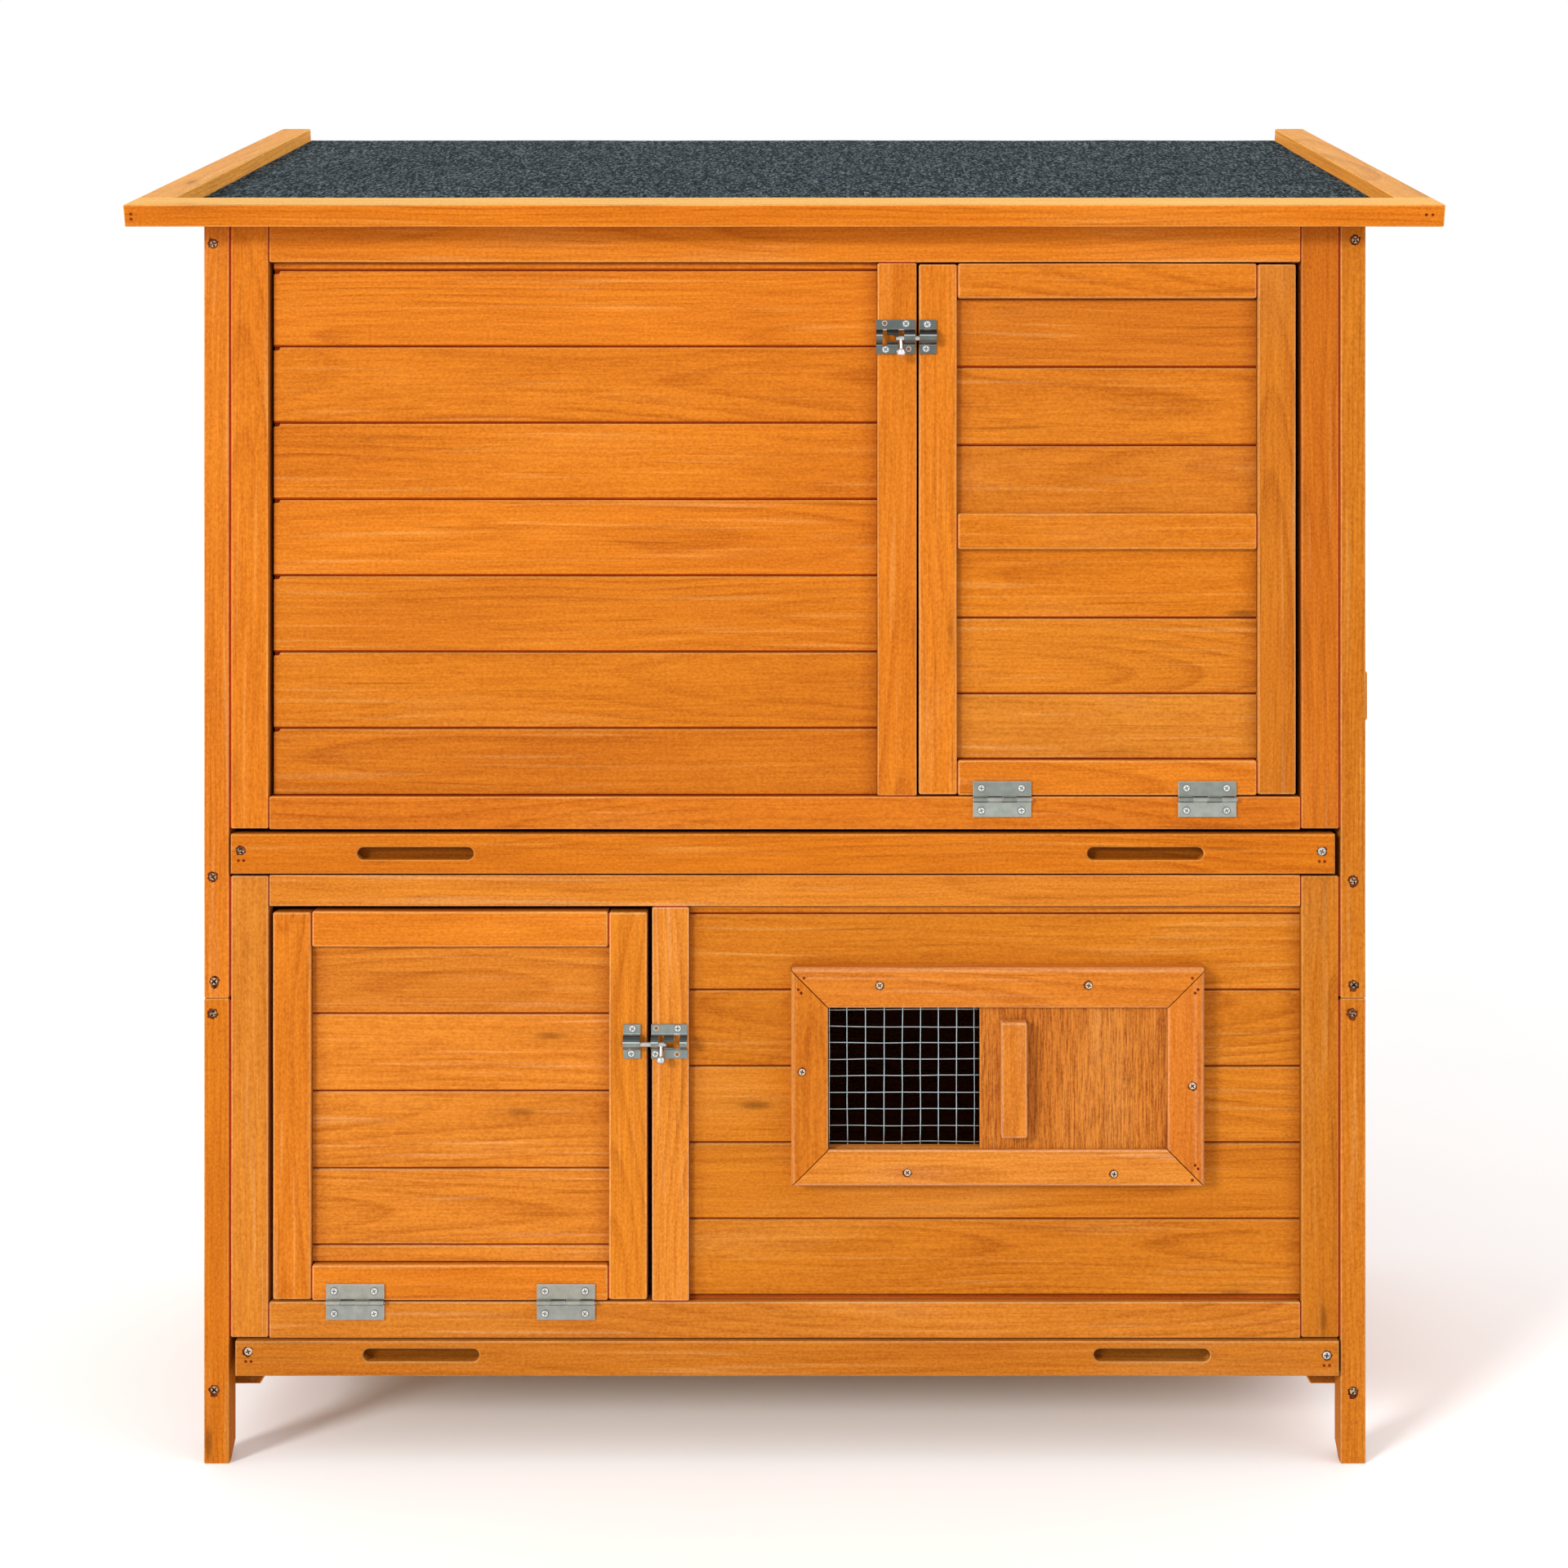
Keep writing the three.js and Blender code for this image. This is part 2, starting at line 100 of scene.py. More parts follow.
def face_kinds(bm):
    return bm.faces.layers.int.get("kind") or bm.faces.layers.int.new("kind")


def face_tints(bm):
    return bm.loops.layers.float_color.get("tone") or bm.loops.layers.float_color.new("tone")


def cut(bm, at, normal, **options):
    """Cuts all of a piece by a plane."""
    everything = bm.verts[:] + bm.edges[:] + bm.faces[:]
    return bmesh.ops.bisect_plane(bm, geom=everything, plane_co=at, plane_no=normal, **options)


def extent(bm, i):
    values = [v.co[i] for v in bm.verts]
    return min(values), max(values)


def round_arrises(bm, width, segments=2):
    kind = face_kinds(bm)
    sharp = [e for e in bm.edges if len(e.link_faces) == 2 and e.calc_face_angle(0) > 0.5]
    made = bmesh.ops.bevel(bm, geom=sharp, offset=width, segments=segments, profile=0.5,
                           affect="EDGES", clamp_overlap=True)
    for face in made["faces"]:
        face[kind] = ARRIS
    return bm


def stations(bm, axis, step):
    """Divides a piece across one axis, so that it can wander."""
    i = "xyz".index(axis)
    low, high = extent(bm, i)
    count = int((high - low) / step)
    normal = [int(n == i) for n in range(3)]
    for n in range(1, count):
        at = [0, 0, 0]
        at[i] = low + (high - low) * n / count
        cut(bm, at, normal)


def dress(bm, grain, tone=(1, 1, 1), pale=0.0, worn=0.3, wander=0.16, step=38, seed=None,
          ends=0.86, top=0.0):
    """Writes the wood's own coordinates and tints, and lets the faces wander a little.

    grain is the axis the fibres run along. pale lightens the whole piece, the arrises for wear
    and painted highlight, and top the upward faces as painted light; ends darkens the end grain.
    """
    chance = CHANCE if seed is None else random.Random(seed)
    i = "xyz".index(grain)
    j, k = [n for n in range(3) if n != i]
    spans = [extent(bm, n) for n in range(3)]
    middle = [(high + low) / 2 for low, high in spans]
    if spans[j][1] - spans[j][0] < spans[k][1] - spans[k][0]:
        j, k = k, j
    shift = (chance.uniform(0, 40), chance.uniform(-0.022, 0.022), chance.uniform(0.010, 0.05))
    phase = chance.uniform(0, 90)
    if wander:
        stations(bm, grain, step)
        for v in bm.verts:
            for n in (j, k):
                side = 7.0 if v.co[n] > middle[n] else -7.0
                at = Vector((v.co[i] * 0.011 + phase, side, phase * 3 + n))
                v.co[n] += wander * noise.noise(at)
    kind = face_kinds(bm)
    where = bm.verts.layers.float_vector.new("grain")
    tint = face_tints(bm)
    for v in bm.verts:
        v[where] = Vector((v.co[i] / 1000 + shift[0], (v.co[j] - middle[j]) / 1000 + shift[1],
                           (v.co[k] - middle[k]) / 1000 + shift[2]))
    shade = chance.uniform(0.97, 1.03)
    for face in bm.faces:
        light, dark = pale, shade
        # arrises are lightened for wear and as painted highlight
        if face[kind] == ARRIS:
            light += worn
        elif abs(face.normal[i]) > 0.8:
            dark *= ends
        # upward faces are lightened as painted light from above
        if face.normal.z > 0.8 and face[kind] != ARRIS:
            light += top
        # faces of the kinds in SHADOWS are darkened as painted shade
        shadow = SHADOWS.get(face[kind], (1, 1, 1))
        for loop in face.loops:
            loop[tint] = (*(t * dark * c for t, c in zip(tone, shadow)), min(light, 1.0))
    return bm


def tongue(bm, grain, **look):
    """Dresses a strip that lies deep in a joint, painted dark all over as the joint's shade."""
    kind = face_kinds(bm)
    for face in bm.faces:
        face[kind] = TONGUE
    return dress(bm, grain, wander=0, **look)


def plank(x, y, z, grain, arris=0.9, shape=None, segments=2, **look):
    """A sawn timber: a box, shaped by moving its corners; wear and painted highlight pale its
    arrises.
    """
    bm = block(x, y, z)
    if shape:
        for v in bm.verts:
            shape(v.co)
    if arris:
        round_arrises(bm, arris, segments)
    return dress(bm, grain, **look)


def piece(name, body, parts, finish, nodes=(), place=None, smooth=False):
    """Joins its parts in one mesh that rides on a body and stands for its CAD nodes."""
    material, slot = finish
    whole = bmesh.new()
    for bm in parts:
        loose = bpy.data.meshes.new("loose")
        bm.to_mesh(loose)
        bm.free()
        whole.from_mesh(loose)
        bpy.data.meshes.remove(loose)
    if place:
        whole.transform(place)
    whole.transform(Matrix.Scale(0.001, 4))
    mesh = bpy.data.meshes.new(name)
    whole.to_mesh(mesh)
    whole.free()
    for polygon in mesh.polygons:
        polygon.use_smooth = smooth
    mesh.materials.append(material)
    made = bpy.data.objects.new(name, mesh)
    bpy.context.scene.collection.objects.link(made)
    if smooth:
        mesh.set_sharp_from_angle(angle=math.radians(40))
    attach(made, body)
    if nodes:
        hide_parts(*nodes)


# ---- materials ----


def shaded(colour, factor=1.0):
    return tuple(c * factor for c in colour) + (1,)


class Shader:
    """A material's node tree, built from the output backwards."""

    def __init__(self, name):
        self.material = bpy.data.materials.new(name)
        self.material.use_nodes = True
        self.tree = self.material.node_tree
        self.tree.nodes.clear()
        self.out = self.tree.nodes.new("ShaderNodeOutputMaterial")
        self.body = self.tree.nodes.new("ShaderNodeBsdfPrincipled")
        self.tree.links.new(self.body.outputs[0], self.out.inputs[0])

    def node(self, kind, sockets=None, **settings):
        made = self.tree.nodes.new("ShaderNode" + kind)
        for key, value in settings.items():
            setattr(made, key, value)
        for key, value in (sockets or {}).items():
            self.put(made.inputs[key], value)
        return made

    def put(self, socket, value):
        """Links a socket, or a node's first output, or else sets a value."""
        if isinstance(value, bpy.types.NodeSocket):
            self.tree.links.new(value, socket)
        elif isinstance(value, bpy.types.Node):
            self.tree.links.new(value.outputs[0], socket)
        else:
            socket.default_value = value

    def set(self, name, value):
        self.put(self.body.inputs[name], value)

    def math(self, operation, a, b=0.0, clamp=False):
        made = self.node("Math", operation=operation, use_clamp=clamp)
        self.put(made.inputs[0], a)
        self.put(made.inputs[1], b)
        return made.outputs[0]

    def plus(self, a, b, clamp=False):
        return self.math("ADD", a, b, clamp)

    def times(self, a, b):
        return self.math("MULTIPLY", a, b)

    def vector(self, operation, a, b):
        made = self.node("VectorMath", operation=operation)
        self.put(made.inputs[0], a)
        self.put(made.inputs[1], b)
        return made.outputs[0]

    def noise(self, where, scale, detail=2.0, rough=0.5):
        stretched = self.vector("MULTIPLY", where, scale)
        return self.node("TexNoise", {"Vector": stretched, "Scale": 1.0, "Detail": detail,
                                      "Roughness": rough})

    def ramp(self, fac, stops):
        """Each stop is a place and either a colour or a grey."""
        made = self.node("ValToRGB", {"Fac": fac})
        marks = made.color_ramp.elements
        while len(marks) < len(stops):
            marks.new(0.5)
        for mark, (at, colour) in zip(marks, stops):
            mark.position = at
            mark.color = (*(colour[:3] if isinstance(colour, tuple) else (colour,) * 3), 1)
        return made.outputs[0]

    def mix(self, fac, a, b, blend="MIX"):
        made = self.node("Mix", data_type="RGBA", blend_type=blend, clamp_factor=True)
        for socket, value in zip((0, 6, 7), (fac, a, b)):
            self.put(made.inputs[socket], value)
        return made.outputs[2]

    def bump(self, height, strength, distance):
        self.set("Normal", self.node("Bump", {"Height": height, "Strength": strength,
                                              "Distance": distance}))


def wood(name, light, dark, pale, rings=0.34, pores=0.76, fibre=0.60, fine=0.34, blotch=0.5,
         spacing=300.0, along=11.0, across=430.0):
    s = Shader(name)
    grain = s.node("Attribute", attribute_name="grain").outputs["Vector"]
    tone = s.node("Attribute", attribute_name="tone")
    sway = s.noise(grain, (2.6, 9, 9), 2)
    shift = s.vector("MULTIPLY", s.vector("SUBTRACT", sway.outputs["Color"], (0.5,) * 3),
                     (0, 0.011, 0.016))
    wavy = s.vector("ADD", grain, shift)
    parts = s.node("SeparateXYZ", {0: wavy})
    drift = s.noise(grain, (1.7, 0, 0), 1)
    depth = s.plus(parts.outputs[2], s.times(drift, 0.05))
    radius = s.math("SQRT", s.plus(s.times(parts.outputs[1], parts.outputs[1]),
                                   s.times(depth, depth)))
    ring = s.math("FRACT", s.times(radius, spacing))
    late = s.ramp(ring, [(0.0, 0.0), (0.55, 0.22), (0.86, 1.0), (1.0, 0.0)])
    cloud = s.noise(grain, (4, 17, 17), 3, 0.55)
    patch = s.ramp(s.noise(grain, (3, 22, 22), 2), [(0.40, 0.25), (0.64, 1.3)])
    threads = s.noise(wavy, (along, across, across), 4, 0.62)
    hair = s.noise(wavy, (along * 4, across * 3, across * 3), 2)
    speck = s.noise(grain, (430, 640, 640), 2, 0.6)
    fac = s.plus(0.36, s.times(s.times(late, patch), rings))
    for texture, amount in ((threads, fibre), (hair, fine), (speck, pores)):
        fac = s.plus(fac, s.times(s.math("SUBTRACT", texture, 0.5), amount * 2))
    fac = s.plus(fac, 0.0, clamp=True)
    colour = s.mix(fac, shaded(light), shaded(dark))
    stains = tuple(1 - c * blotch for c in (0.22, 0.36, 0.50))
    colour = s.mix(1.0, colour, s.ramp(cloud, [(0.42, 1.0), (0.74, stains)]), "MULTIPLY")
    # short dark fibres, and pale ones where the wood takes less stain
    dash = s.ramp(s.noise(wavy, (8, 300, 300), 2), [(0.66, 0.0), (0.76, 1.0)])
    colour = s.mix(s.times(dash, 0.45), colour, shaded(dark, 0.5))
    bright = s.ramp(s.noise(wavy, (5, 260, 260), 1), [(0.62, 0.0), (0.74, 1.0)])
    glow = s.ramp(cloud, [(0.24, 0.30), (0.42, 0.0)])
    # the tint's alpha pales the wood for wear, and as painted highlight and painted light on top
    lift = s.plus(s.plus(s.times(glow, 0.30), s.times(bright, 0.16)),
                  s.times(tone.outputs["Alpha"], s.plus(0.62, s.times(threads, 0.75))),
                  clamp=True)
    bare_and_lit = s.mix(fac, shaded(pale, 1.12), shaded(pale, 0.68))
    colour = s.mix(1.0, s.mix(lift, colour, bare_and_lit), tone.outputs["Color"], "MULTIPLY")
    # pin knots, about 60 mm apart across the grain and 240 mm along it
    cell = s.node("TexVoronoi", {"Vector": s.vector("MULTIPLY", grain, (4.2, 17, 17)),
                                 "Scale": 1.0, "Randomness": 1.0})
    knot = s.ramp(cell.outputs["Distance"], [(0.0, 1.0), (0.030, 0.75), (0.060, 0.14),
                                             (0.17, 0.0)])
    s.set("Base Color", s.mix(s.times(knot, 0.7), colour, shaded(dark, 0.25)))
    s.set("Roughness", s.node("MapRange", {"Value": threads, "To Min": 0.5, "To Max": 0.68}))
    s.set("Specular IOR Level", 0.05)
    s.bump(s.plus(s.times(threads, 0.7), s.times(speck, 0.3)), 0.3, 0.0005)
    return s.material


def roofing(name):
    s = Shader(name)
    where = s.node("TexCoord").outputs["Object"]
    grit = s.node("TexVoronoi", {"Vector": s.vector("MULTIPLY", where, (1.6, 0.55, 1)),
                                 "Scale": 390.0})
    rough = s.noise(where, (560, 190, 200), 3, 0.7)
    cloud = s.noise(where, (9, 14, 14), 3)
    mixed = s.plus(s.times(grit.outputs["Color"], 0.55), s.times(rough, 0.55))
    colour = s.ramp(mixed, [(0.32, (0.000, 0.002, 0.004)), (0.46, (0.011, 0.022, 0.030)),
                            (0.60, (0.060, 0.088, 0.102)), (0.74, (0.184, 0.236, 0.258)),
                            (0.92, (0.46, 0.54, 0.58))])
    patchy = s.ramp(cloud, [(0.3, (0.84, 0.87, 0.90)), (0.7, (1.02, 1.00, 0.94))])
    s.set("Base Color", s.mix(1.0, colour, patchy, "MULTIPLY"))
    s.set("Roughness", 0.93)
    s.set("Specular IOR Level", 0.25)
    s.bump(mixed, 0.9, 0.0009)
    return s.material


def zinc(name, base, roughness):
    s = Shader(name)
    where = s.node("TexCoord").outputs["Object"]
    tone = s.node("Attribute", attribute_name="tone")
    cloud = s.noise(where, (160, 160, 160), 3)
    rubbed = s.noise(where, (90, 1500, 1500), 2)
    colour = s.ramp(cloud, [(0.3, shaded(base, 0.86)), (0.7, shaded(base, 1.12))])
    colour = s.mix(1.0, colour, tone.outputs["Color"], "MULTIPLY")
    # the tint's alpha paints highlight, towards a pale grey
    s.set("Base Color", s.mix(tone.outputs["Alpha"], colour, (0.86, 0.88, 0.88, 1)))
    s.set("Metallic", 0.9)
    s.set("Roughness", s.node("MapRange", {"Value": rubbed, "To Min": roughness - 0.06,
                                           "To Max": roughness + 0.1}))
    s.bump(rubbed, 0.15, 0.0002)
    return s.material


# each finish is a material and the name of a slot
PALE = (0.72, 0.42, 0.143)
STAIN = (wood("stained_timber", (0.614, 0.184, 0.0125), (0.378, 0.089, 0.004), PALE),
         "stained_timber")
PLY = (wood("shutter_ply", (0.50, 0.165, 0.022), (0.22, 0.050, 0.006), (0.66, 0.33, 0.10),
            rings=0.10, pores=0.6, fibre=1.4, fine=1.2, blotch=0.7, spacing=60.0, along=26.0,
            across=700.0), "plywood")
BARE_PLY = (wood("tray_ply", (0.50, 0.30, 0.13), (0.33, 0.165, 0.06), (0.70, 0.52, 0.30),
                 rings=0.15, fibre=0.8, spacing=90.0), "plywood")
TORN = (wood("torn_wood", (0.14, 0.030, 0.008), (0.04, 0.008, 0.002), PALE, fibre=1.4),
        "stained_timber")
FELT = roofing("mineral_felt"), "roof_felt"
ZINC = zinc("zinc_plate", (0.36, 0.385, 0.37), 0.36), "zinc_plate"
SCREW = zinc("timber_screw", (0.60, 0.50, 0.37), 0.40), "zinc_plate"
TIN = zinc("bright_screw", (0.66, 0.68, 0.66), 0.28), "zinc_plate"
WIRE = zinc("galvanised_wire", (0.44, 0.53, 0.56), 0.32), "wire_mesh"

# tints, against the stain's own colour
UP, LOW, POSTS, DOOR = (1.0, 1.0, 1.0), (0.97, 0.96, 1.0), (0.98, 0.98, 1.1), (0.97, 0.98, 1.05)
TONES = {"upper_right_stile": (0.80, 0.75, 0.8), "front_right_post": (0.82, 0.90, 1.0),
         "front_right_leg": (0.84, 0.90, 1.0), "upper_door_right_stile": (0.80, 0.84, 1.0),
         "lower_right_stile": (0.78, 0.84, 0.9), "upper_bottom_rail": (0.88, 0.84, 0.9),
         "lower_mullion": (1.05, 1.24, 2.2), "lower_left_stile": (0.94, 1.10, 1.8),
         "lower_top_rail": (0.92, 1.03, 1.5), "lower_bottom_rail": (0.89, 1.02, 1.6),
         "upper_door_mid_rail": (0.89, 0.89, 0.85), "front_left_leg": (0.87, 0.86, 0.7),
         "lower_door_right_stile": (1.0, 1.12, 1.3)}

# ---- posts, legs and frames ----

FRONT = -205  # the front face of the frames
TOP_Y, TOP_Z = span("rear_left_post")[1][1], span("rear_left_post")[2][1]


def wall_top(y):
    return TOP_Z + (y - TOP_Y) * TAN


def under_roof(z):
    """Shapes a timber that spans z, so that its top follows the roof."""
    def shape(co):
        if co.z > sum(z) / 2:
            co.z = wall_top(co.y)
    return shape


EASE = 0.6


def timber(node, grain, body="cabinet", **look):
    """A frame timber, its ends eased back from its neighbours so that the joints show."""
    x, y, z = span(node)
    look["tone"] = TONES.get(node, look.get("tone", UP))
    if grain == "x" or "post" in node:
        x = (x[0] + EASE, x[1] - EASE)
    else:
        z = (z[0] + EASE, z[1] - EASE)
    piece("timber_" + node, body, [plank(x, y, z, grain, **look)], STAIN, [node])


STRIP_INSET, STRIP_HALF = 1.2, 1.6
WIDEST_JOINT, SHORTEST_JOINT = 1.5, 8


def joint_strips(name, body, nodes):
    """Dark strips behind the joints of a frame, painted as the shade deep in each joint."""
    strips = []
    for a, b in itertools.combinations(nodes, 2):
        common = [(max(p[0], q[0]), min(p[1], q[1])) for p, q in zip(span(a), span(b))]
        sizes = [high - low for low, high in common]
        meets = [i for i in (0, 2) if abs(sizes[i]) < WIDEST_JOINT]
        if len(meets) != 1 or sizes[2 - meets[0]] < SHORTEST_JOINT:
            continue
        i = meets[0]
        middle = sum(common[i]) / 2
        box = [(low + STRIP_INSET, high - STRIP_INSET) for low, high in common]
        box[i] = (middle - STRIP_HALF, middle + STRIP_HALF)
        bm = block(*box)
        for vert in bm.verts:
            vert.co.z = min(vert.co.z, wall_top(vert.co.y) - STRIP_INSET)
        strips.append(tongue(bm, "z" if i == 0 else "x"))
    piece(name, body, strips, STAIN)


TREAD, HEEL = 7, 10  # the flat of a foot, and the height that its heel is cut to

for side in ("left", "right"):
    node = f"front_{side}_post"
    timber(node, "z", shape=under_roof(span(node)[2]), tone=POSTS)
    for end in ("front", "rear"):
        node = f"{end}_{side}_" + ("leg" if end == "front" else "post")
        x, y, z = span(node)
        out, back = y if end == "front" else reversed(y)
        top = (lambda v: z[1]) if end == "front" else wall_top
        outline = [(out, 0), (out + math.copysign(TREAD, back - out), 0), (back, HEEL),
                   (back, top(back)), (out, top(out))]
        leg = round_arrises(prism("x", outline, (x[0] + EASE, x[1] - EASE)), 0.9)
        piece("timber_" + node, "cabinet", [dress(leg, "z", tone=TONES.get(node, POSTS))], STAIN,
              [node])

for node in ("upper_left_stile", "upper_right_stile", "upper_top_rail"):
    timber(node, "x" if "rail" in node else "z", shape=under_roof(span(node)[2]))
for node in ("upper_bottom_rail", "lower_top_rail", "lower_bottom_rail"):
    timber(node, "x")
for node in ("upper_mullion", "lower_mullion", "lower_left_stile", "lower_right_stile"):
    timber(node, "z", tone=LOW)
MEMBERS = ("left_stile", "right_stile", "top_rail", "bottom_rail", "mullion")
joint_strips("cabinet_joints", "cabinet",
             [f"front_{side}_{part}" for side in ("left", "right") for part in ("post", "leg")]
             + [f"{storey}_{part}" for storey in ("upper", "lower") for part in MEMBERS])

# ---- tongue and groove boards ----

PITCH = 54.0    # from one groove to the next
DARK_END_REACH = 13.0  # how far the darkening reaches in from a board's ends
GAP, VEE = 0.3, 1.2
TONGUE_IN, TONGUE_UP = (3.2, 5.6), (-2.4, 1.2)  # a tongue's spans, from the face and the groove


def boards(x, y, z, grooves, hole=None, tone=UP, tones=(), seed=0, nip=0.0, indoors=True):
    """Horizontal boards with a vee between them. y runs from the seen face to the back.

    tones are single boards' own, from the lowest up, nip is how far the corners at the left
    ends are broken away, and indoors darkens the backs as painted shade inside the hutch.
    """
    marks = [z[0]] + sorted(g for g in grooves if z[0] + 1 < g < z[1] - 1) + [z[1]]
    last = len(marks) - 2
    made = []
    face, back = y
    way = 1 if back > face else -1
    for n in range(last + 1):
        low = marks[n] + (GAP if n else 0)
        high = marks[n + 1] - (GAP if n < last else 0)
        light = CHANCE.uniform(0.96, 1.03)
        tint = tuple(t * light for t in tone)
        if n < len(tones):
            tint = tuple(t * f for t, f in zip(tint, tones[n]))

        def board(part, band):
            bottom = VEE if band[0] == low else 0
            crown = VEE if band[1] == high else 0
            outline = [(face + way * bottom, band[0]), (face, band[0] + bottom),
                       (face, band[1] - crown), (face + way * crown, band[1]),
                       (back, band[1]), (back, band[0])]
            if not bottom:
                outline.pop(0)
            if not crown:
                outline.pop(-3)
            bm = prism("x", outline, part)
            kind = face_kinds(bm)
            # vee faces that look up are lightened for wear and as painted highlight, those that
            # look down are darkened as painted shade, and backs indoors as painted shade
            for f in bm.faces:
                if 0.2 < abs(f.normal.z) < 0.95 and abs(f.normal.x) < 0.2:
                    f[kind] = ARRIS if f.normal.z > 0 else UNDERCUT
                elif indoors and f.normal.y * way > 0.9:
                    f[kind] = INNER
            if nip and band[1] == high and n < last:
                for reach in (nip * 1.6, nip * 2.2):
                    cut(bm, (part[0] + reach, 0, 0), (1, 0, 0))
                for v in bm.verts:
                    if v.co.x < part[0] + nip * 1.7 and v.co.z > sum(band) / 2:
                        v.co.z -= nip
            # the boards are darker at their ends, against the stiles
            for at in (part[0] + DARK_END_REACH, part[1] - DARK_END_REACH):
                cut(bm, (at, 0, 0), (1, 0, 0))
            dress(bm, "x", tone=tint, seed=seed * 100 + n, wander=0.10, worn=0.2)
            layer = face_tints(bm)
            for loop in (loop for f in bm.faces for loop in f.loops):
                if min(loop.vert.co.x - x[0], x[1] - loop.vert.co.x) < 1:
                    r, g, b, a = loop[layer]
                    loop[layer] = (r * 0.78, g * 0.72, b * 0.72, a)
            return bm

        if hole and low < hole[1][1] and high > hole[1][0]:
            (hx0, hx1), (hz0, hz1) = hole
            made += [board((x[0], hx0), (low, high)), board((hx1, x[1]), (low, high))]
            if low < hz0:
                made.append(board((hx0, hx1), (low, hz0)))
            if high > hz1:
                made.append(board((hx0, hx1), (hz1, high)))
        else:
            made.append(board(x, (low, high)))
        if n:
            parts = [x]
            if hole and hole[1][0] < marks[n] < hole[1][1]:
                parts = [(x[0], hole[0][0]), (hole[0][1], x[1])]
            section = rect([face + way * d for d in TONGUE_IN], [marks[n] + d for d in TONGUE_UP])
            made += [tongue(prism("x", section, part), "x", tone=tone) for part in parts]
    return made


def grooves_down(first, lowest):
    marks = []
    while first > lowest:
        marks.append(first)
        first -= PITCH
    return marks


x, y, z = span("upper_cladding")
LOWEST = [(0.82, 0.80, 0.8), (0.91, 0.93, 0.9), (0.90, 0.91, 0.9)]
piece("upper_boards", "cabinet",
      boards(x, y, z, grooves_down(842.2, z[0]), seed=1, nip=2.0, tones=LOWEST), STAIN,
      ["upper_cladding"])
x, y, z = span("lower_cladding")
HOLE = ((27, 145), (221, 328))
piece("lower_boards", "cabinet",
      boards(x, y, z, grooves_down(387, z[0]), hole=HOLE, tone=(0.86, 0.94, 1.0), seed=2),
      STAIN, ["lower_cladding"])

# ---- doors ----

DOOR_GROOVES = {"upper_door": [773.6, 718.3, 596.2, 542.6],
                "lower_door": [316.2, 261.5, 206.8, 152.6]}
DOOR_ARRIS = 1.3
for name, grooves in DOOR_GROOVES.items():
    members = ["left_stile", "right_stile", "top_rail", "bottom_rail"]
    for part in members:
        timber(f"{name}_{part}", "x" if "rail" in part else "z", name, tone=DOOR,
               arris=DOOR_ARRIS)
    if name == "upper_door":
        members.append("mid_rail")
    joint_strips(f"{name}_joints", name, [f"{name}_{part}" for part in members])
    x, y, z = span(f"{name}_cladding")
    if name == "upper_door":
        timber("upper_door_mid_rail", "x", name, tone=DOOR, arris=DOOR_ARRIS)
        seam = sum(span("upper_door_mid_rail")[2]) / 2
        made = boards(x, y, (z[0], seam), grooves, tone=DOOR, seed=3, indoors=False,
                      tones=[(0.90, 1.04, 1.5), (0.94, 1.02, 1.1), (0.97, 0.97, 0.8)])
        made += boards(x, y, (seam, z[1]), grooves, tone=DOOR, seed=4, indoors=False,
                       tones=[(0.84, 0.85, 0.95), (0.92, 0.95, 1.0), (0.85, 0.83, 0.9)])
    else:
        made = boards(x, y, z, grooves, tone=(0.98, 1.10, 1.7), seed=5, indoors=False)
    piece(f"{name}_boards", name, made, STAIN, [f"{name}_cladding"])

# ---- sides and back ----

SIDE_RAILS = [(49.5, 74.5), (303, 328), (328.6, 353.6), (402, 427)]
BACK_RAILS = [(49.5, 74.5), (303, 353.6), (402, 427)]
WALL_GROOVES = [328.3 + PITCH * n for n in range(-6, 13)]
SWAP = Matrix(((0, -1, 0, 0), (1, 0, 0, 0), (0, 0, 1, 0), (0, 0, 0, 1)))


def slope_cut(bm):
    """Trims a wall's boards to the roof's slope."""
    made = cut(bm, (0, TOP_Y, TOP_Z), (0, -SIN, COS), clear_outer=True)
    edges = [e for e in made["geom_cut"] if isinstance(e, bmesh.types.BMEdge)]
    if edges:
        bmesh.ops.holes_fill(bm, edges=edges, sides=0)
        tint = face_tints(bm)
        for loop in (loop for f in bm.faces for loop in f.loops):
            if loop[tint][0] == 0:
                loop[tint] = (0.8, 0.8, 0.8, 0)


# distances from the middle, and the height of the ledges that the trays run on
OUTSIDE, INSIDE = 405, 396
SIDE_RAIL_X = (398.5, 409.4)
LEDGE_X, LEDGE_BEVEL_X, LEDGE, LEDGE_BEVEL = 371.9, 374.9, 18.1, 6

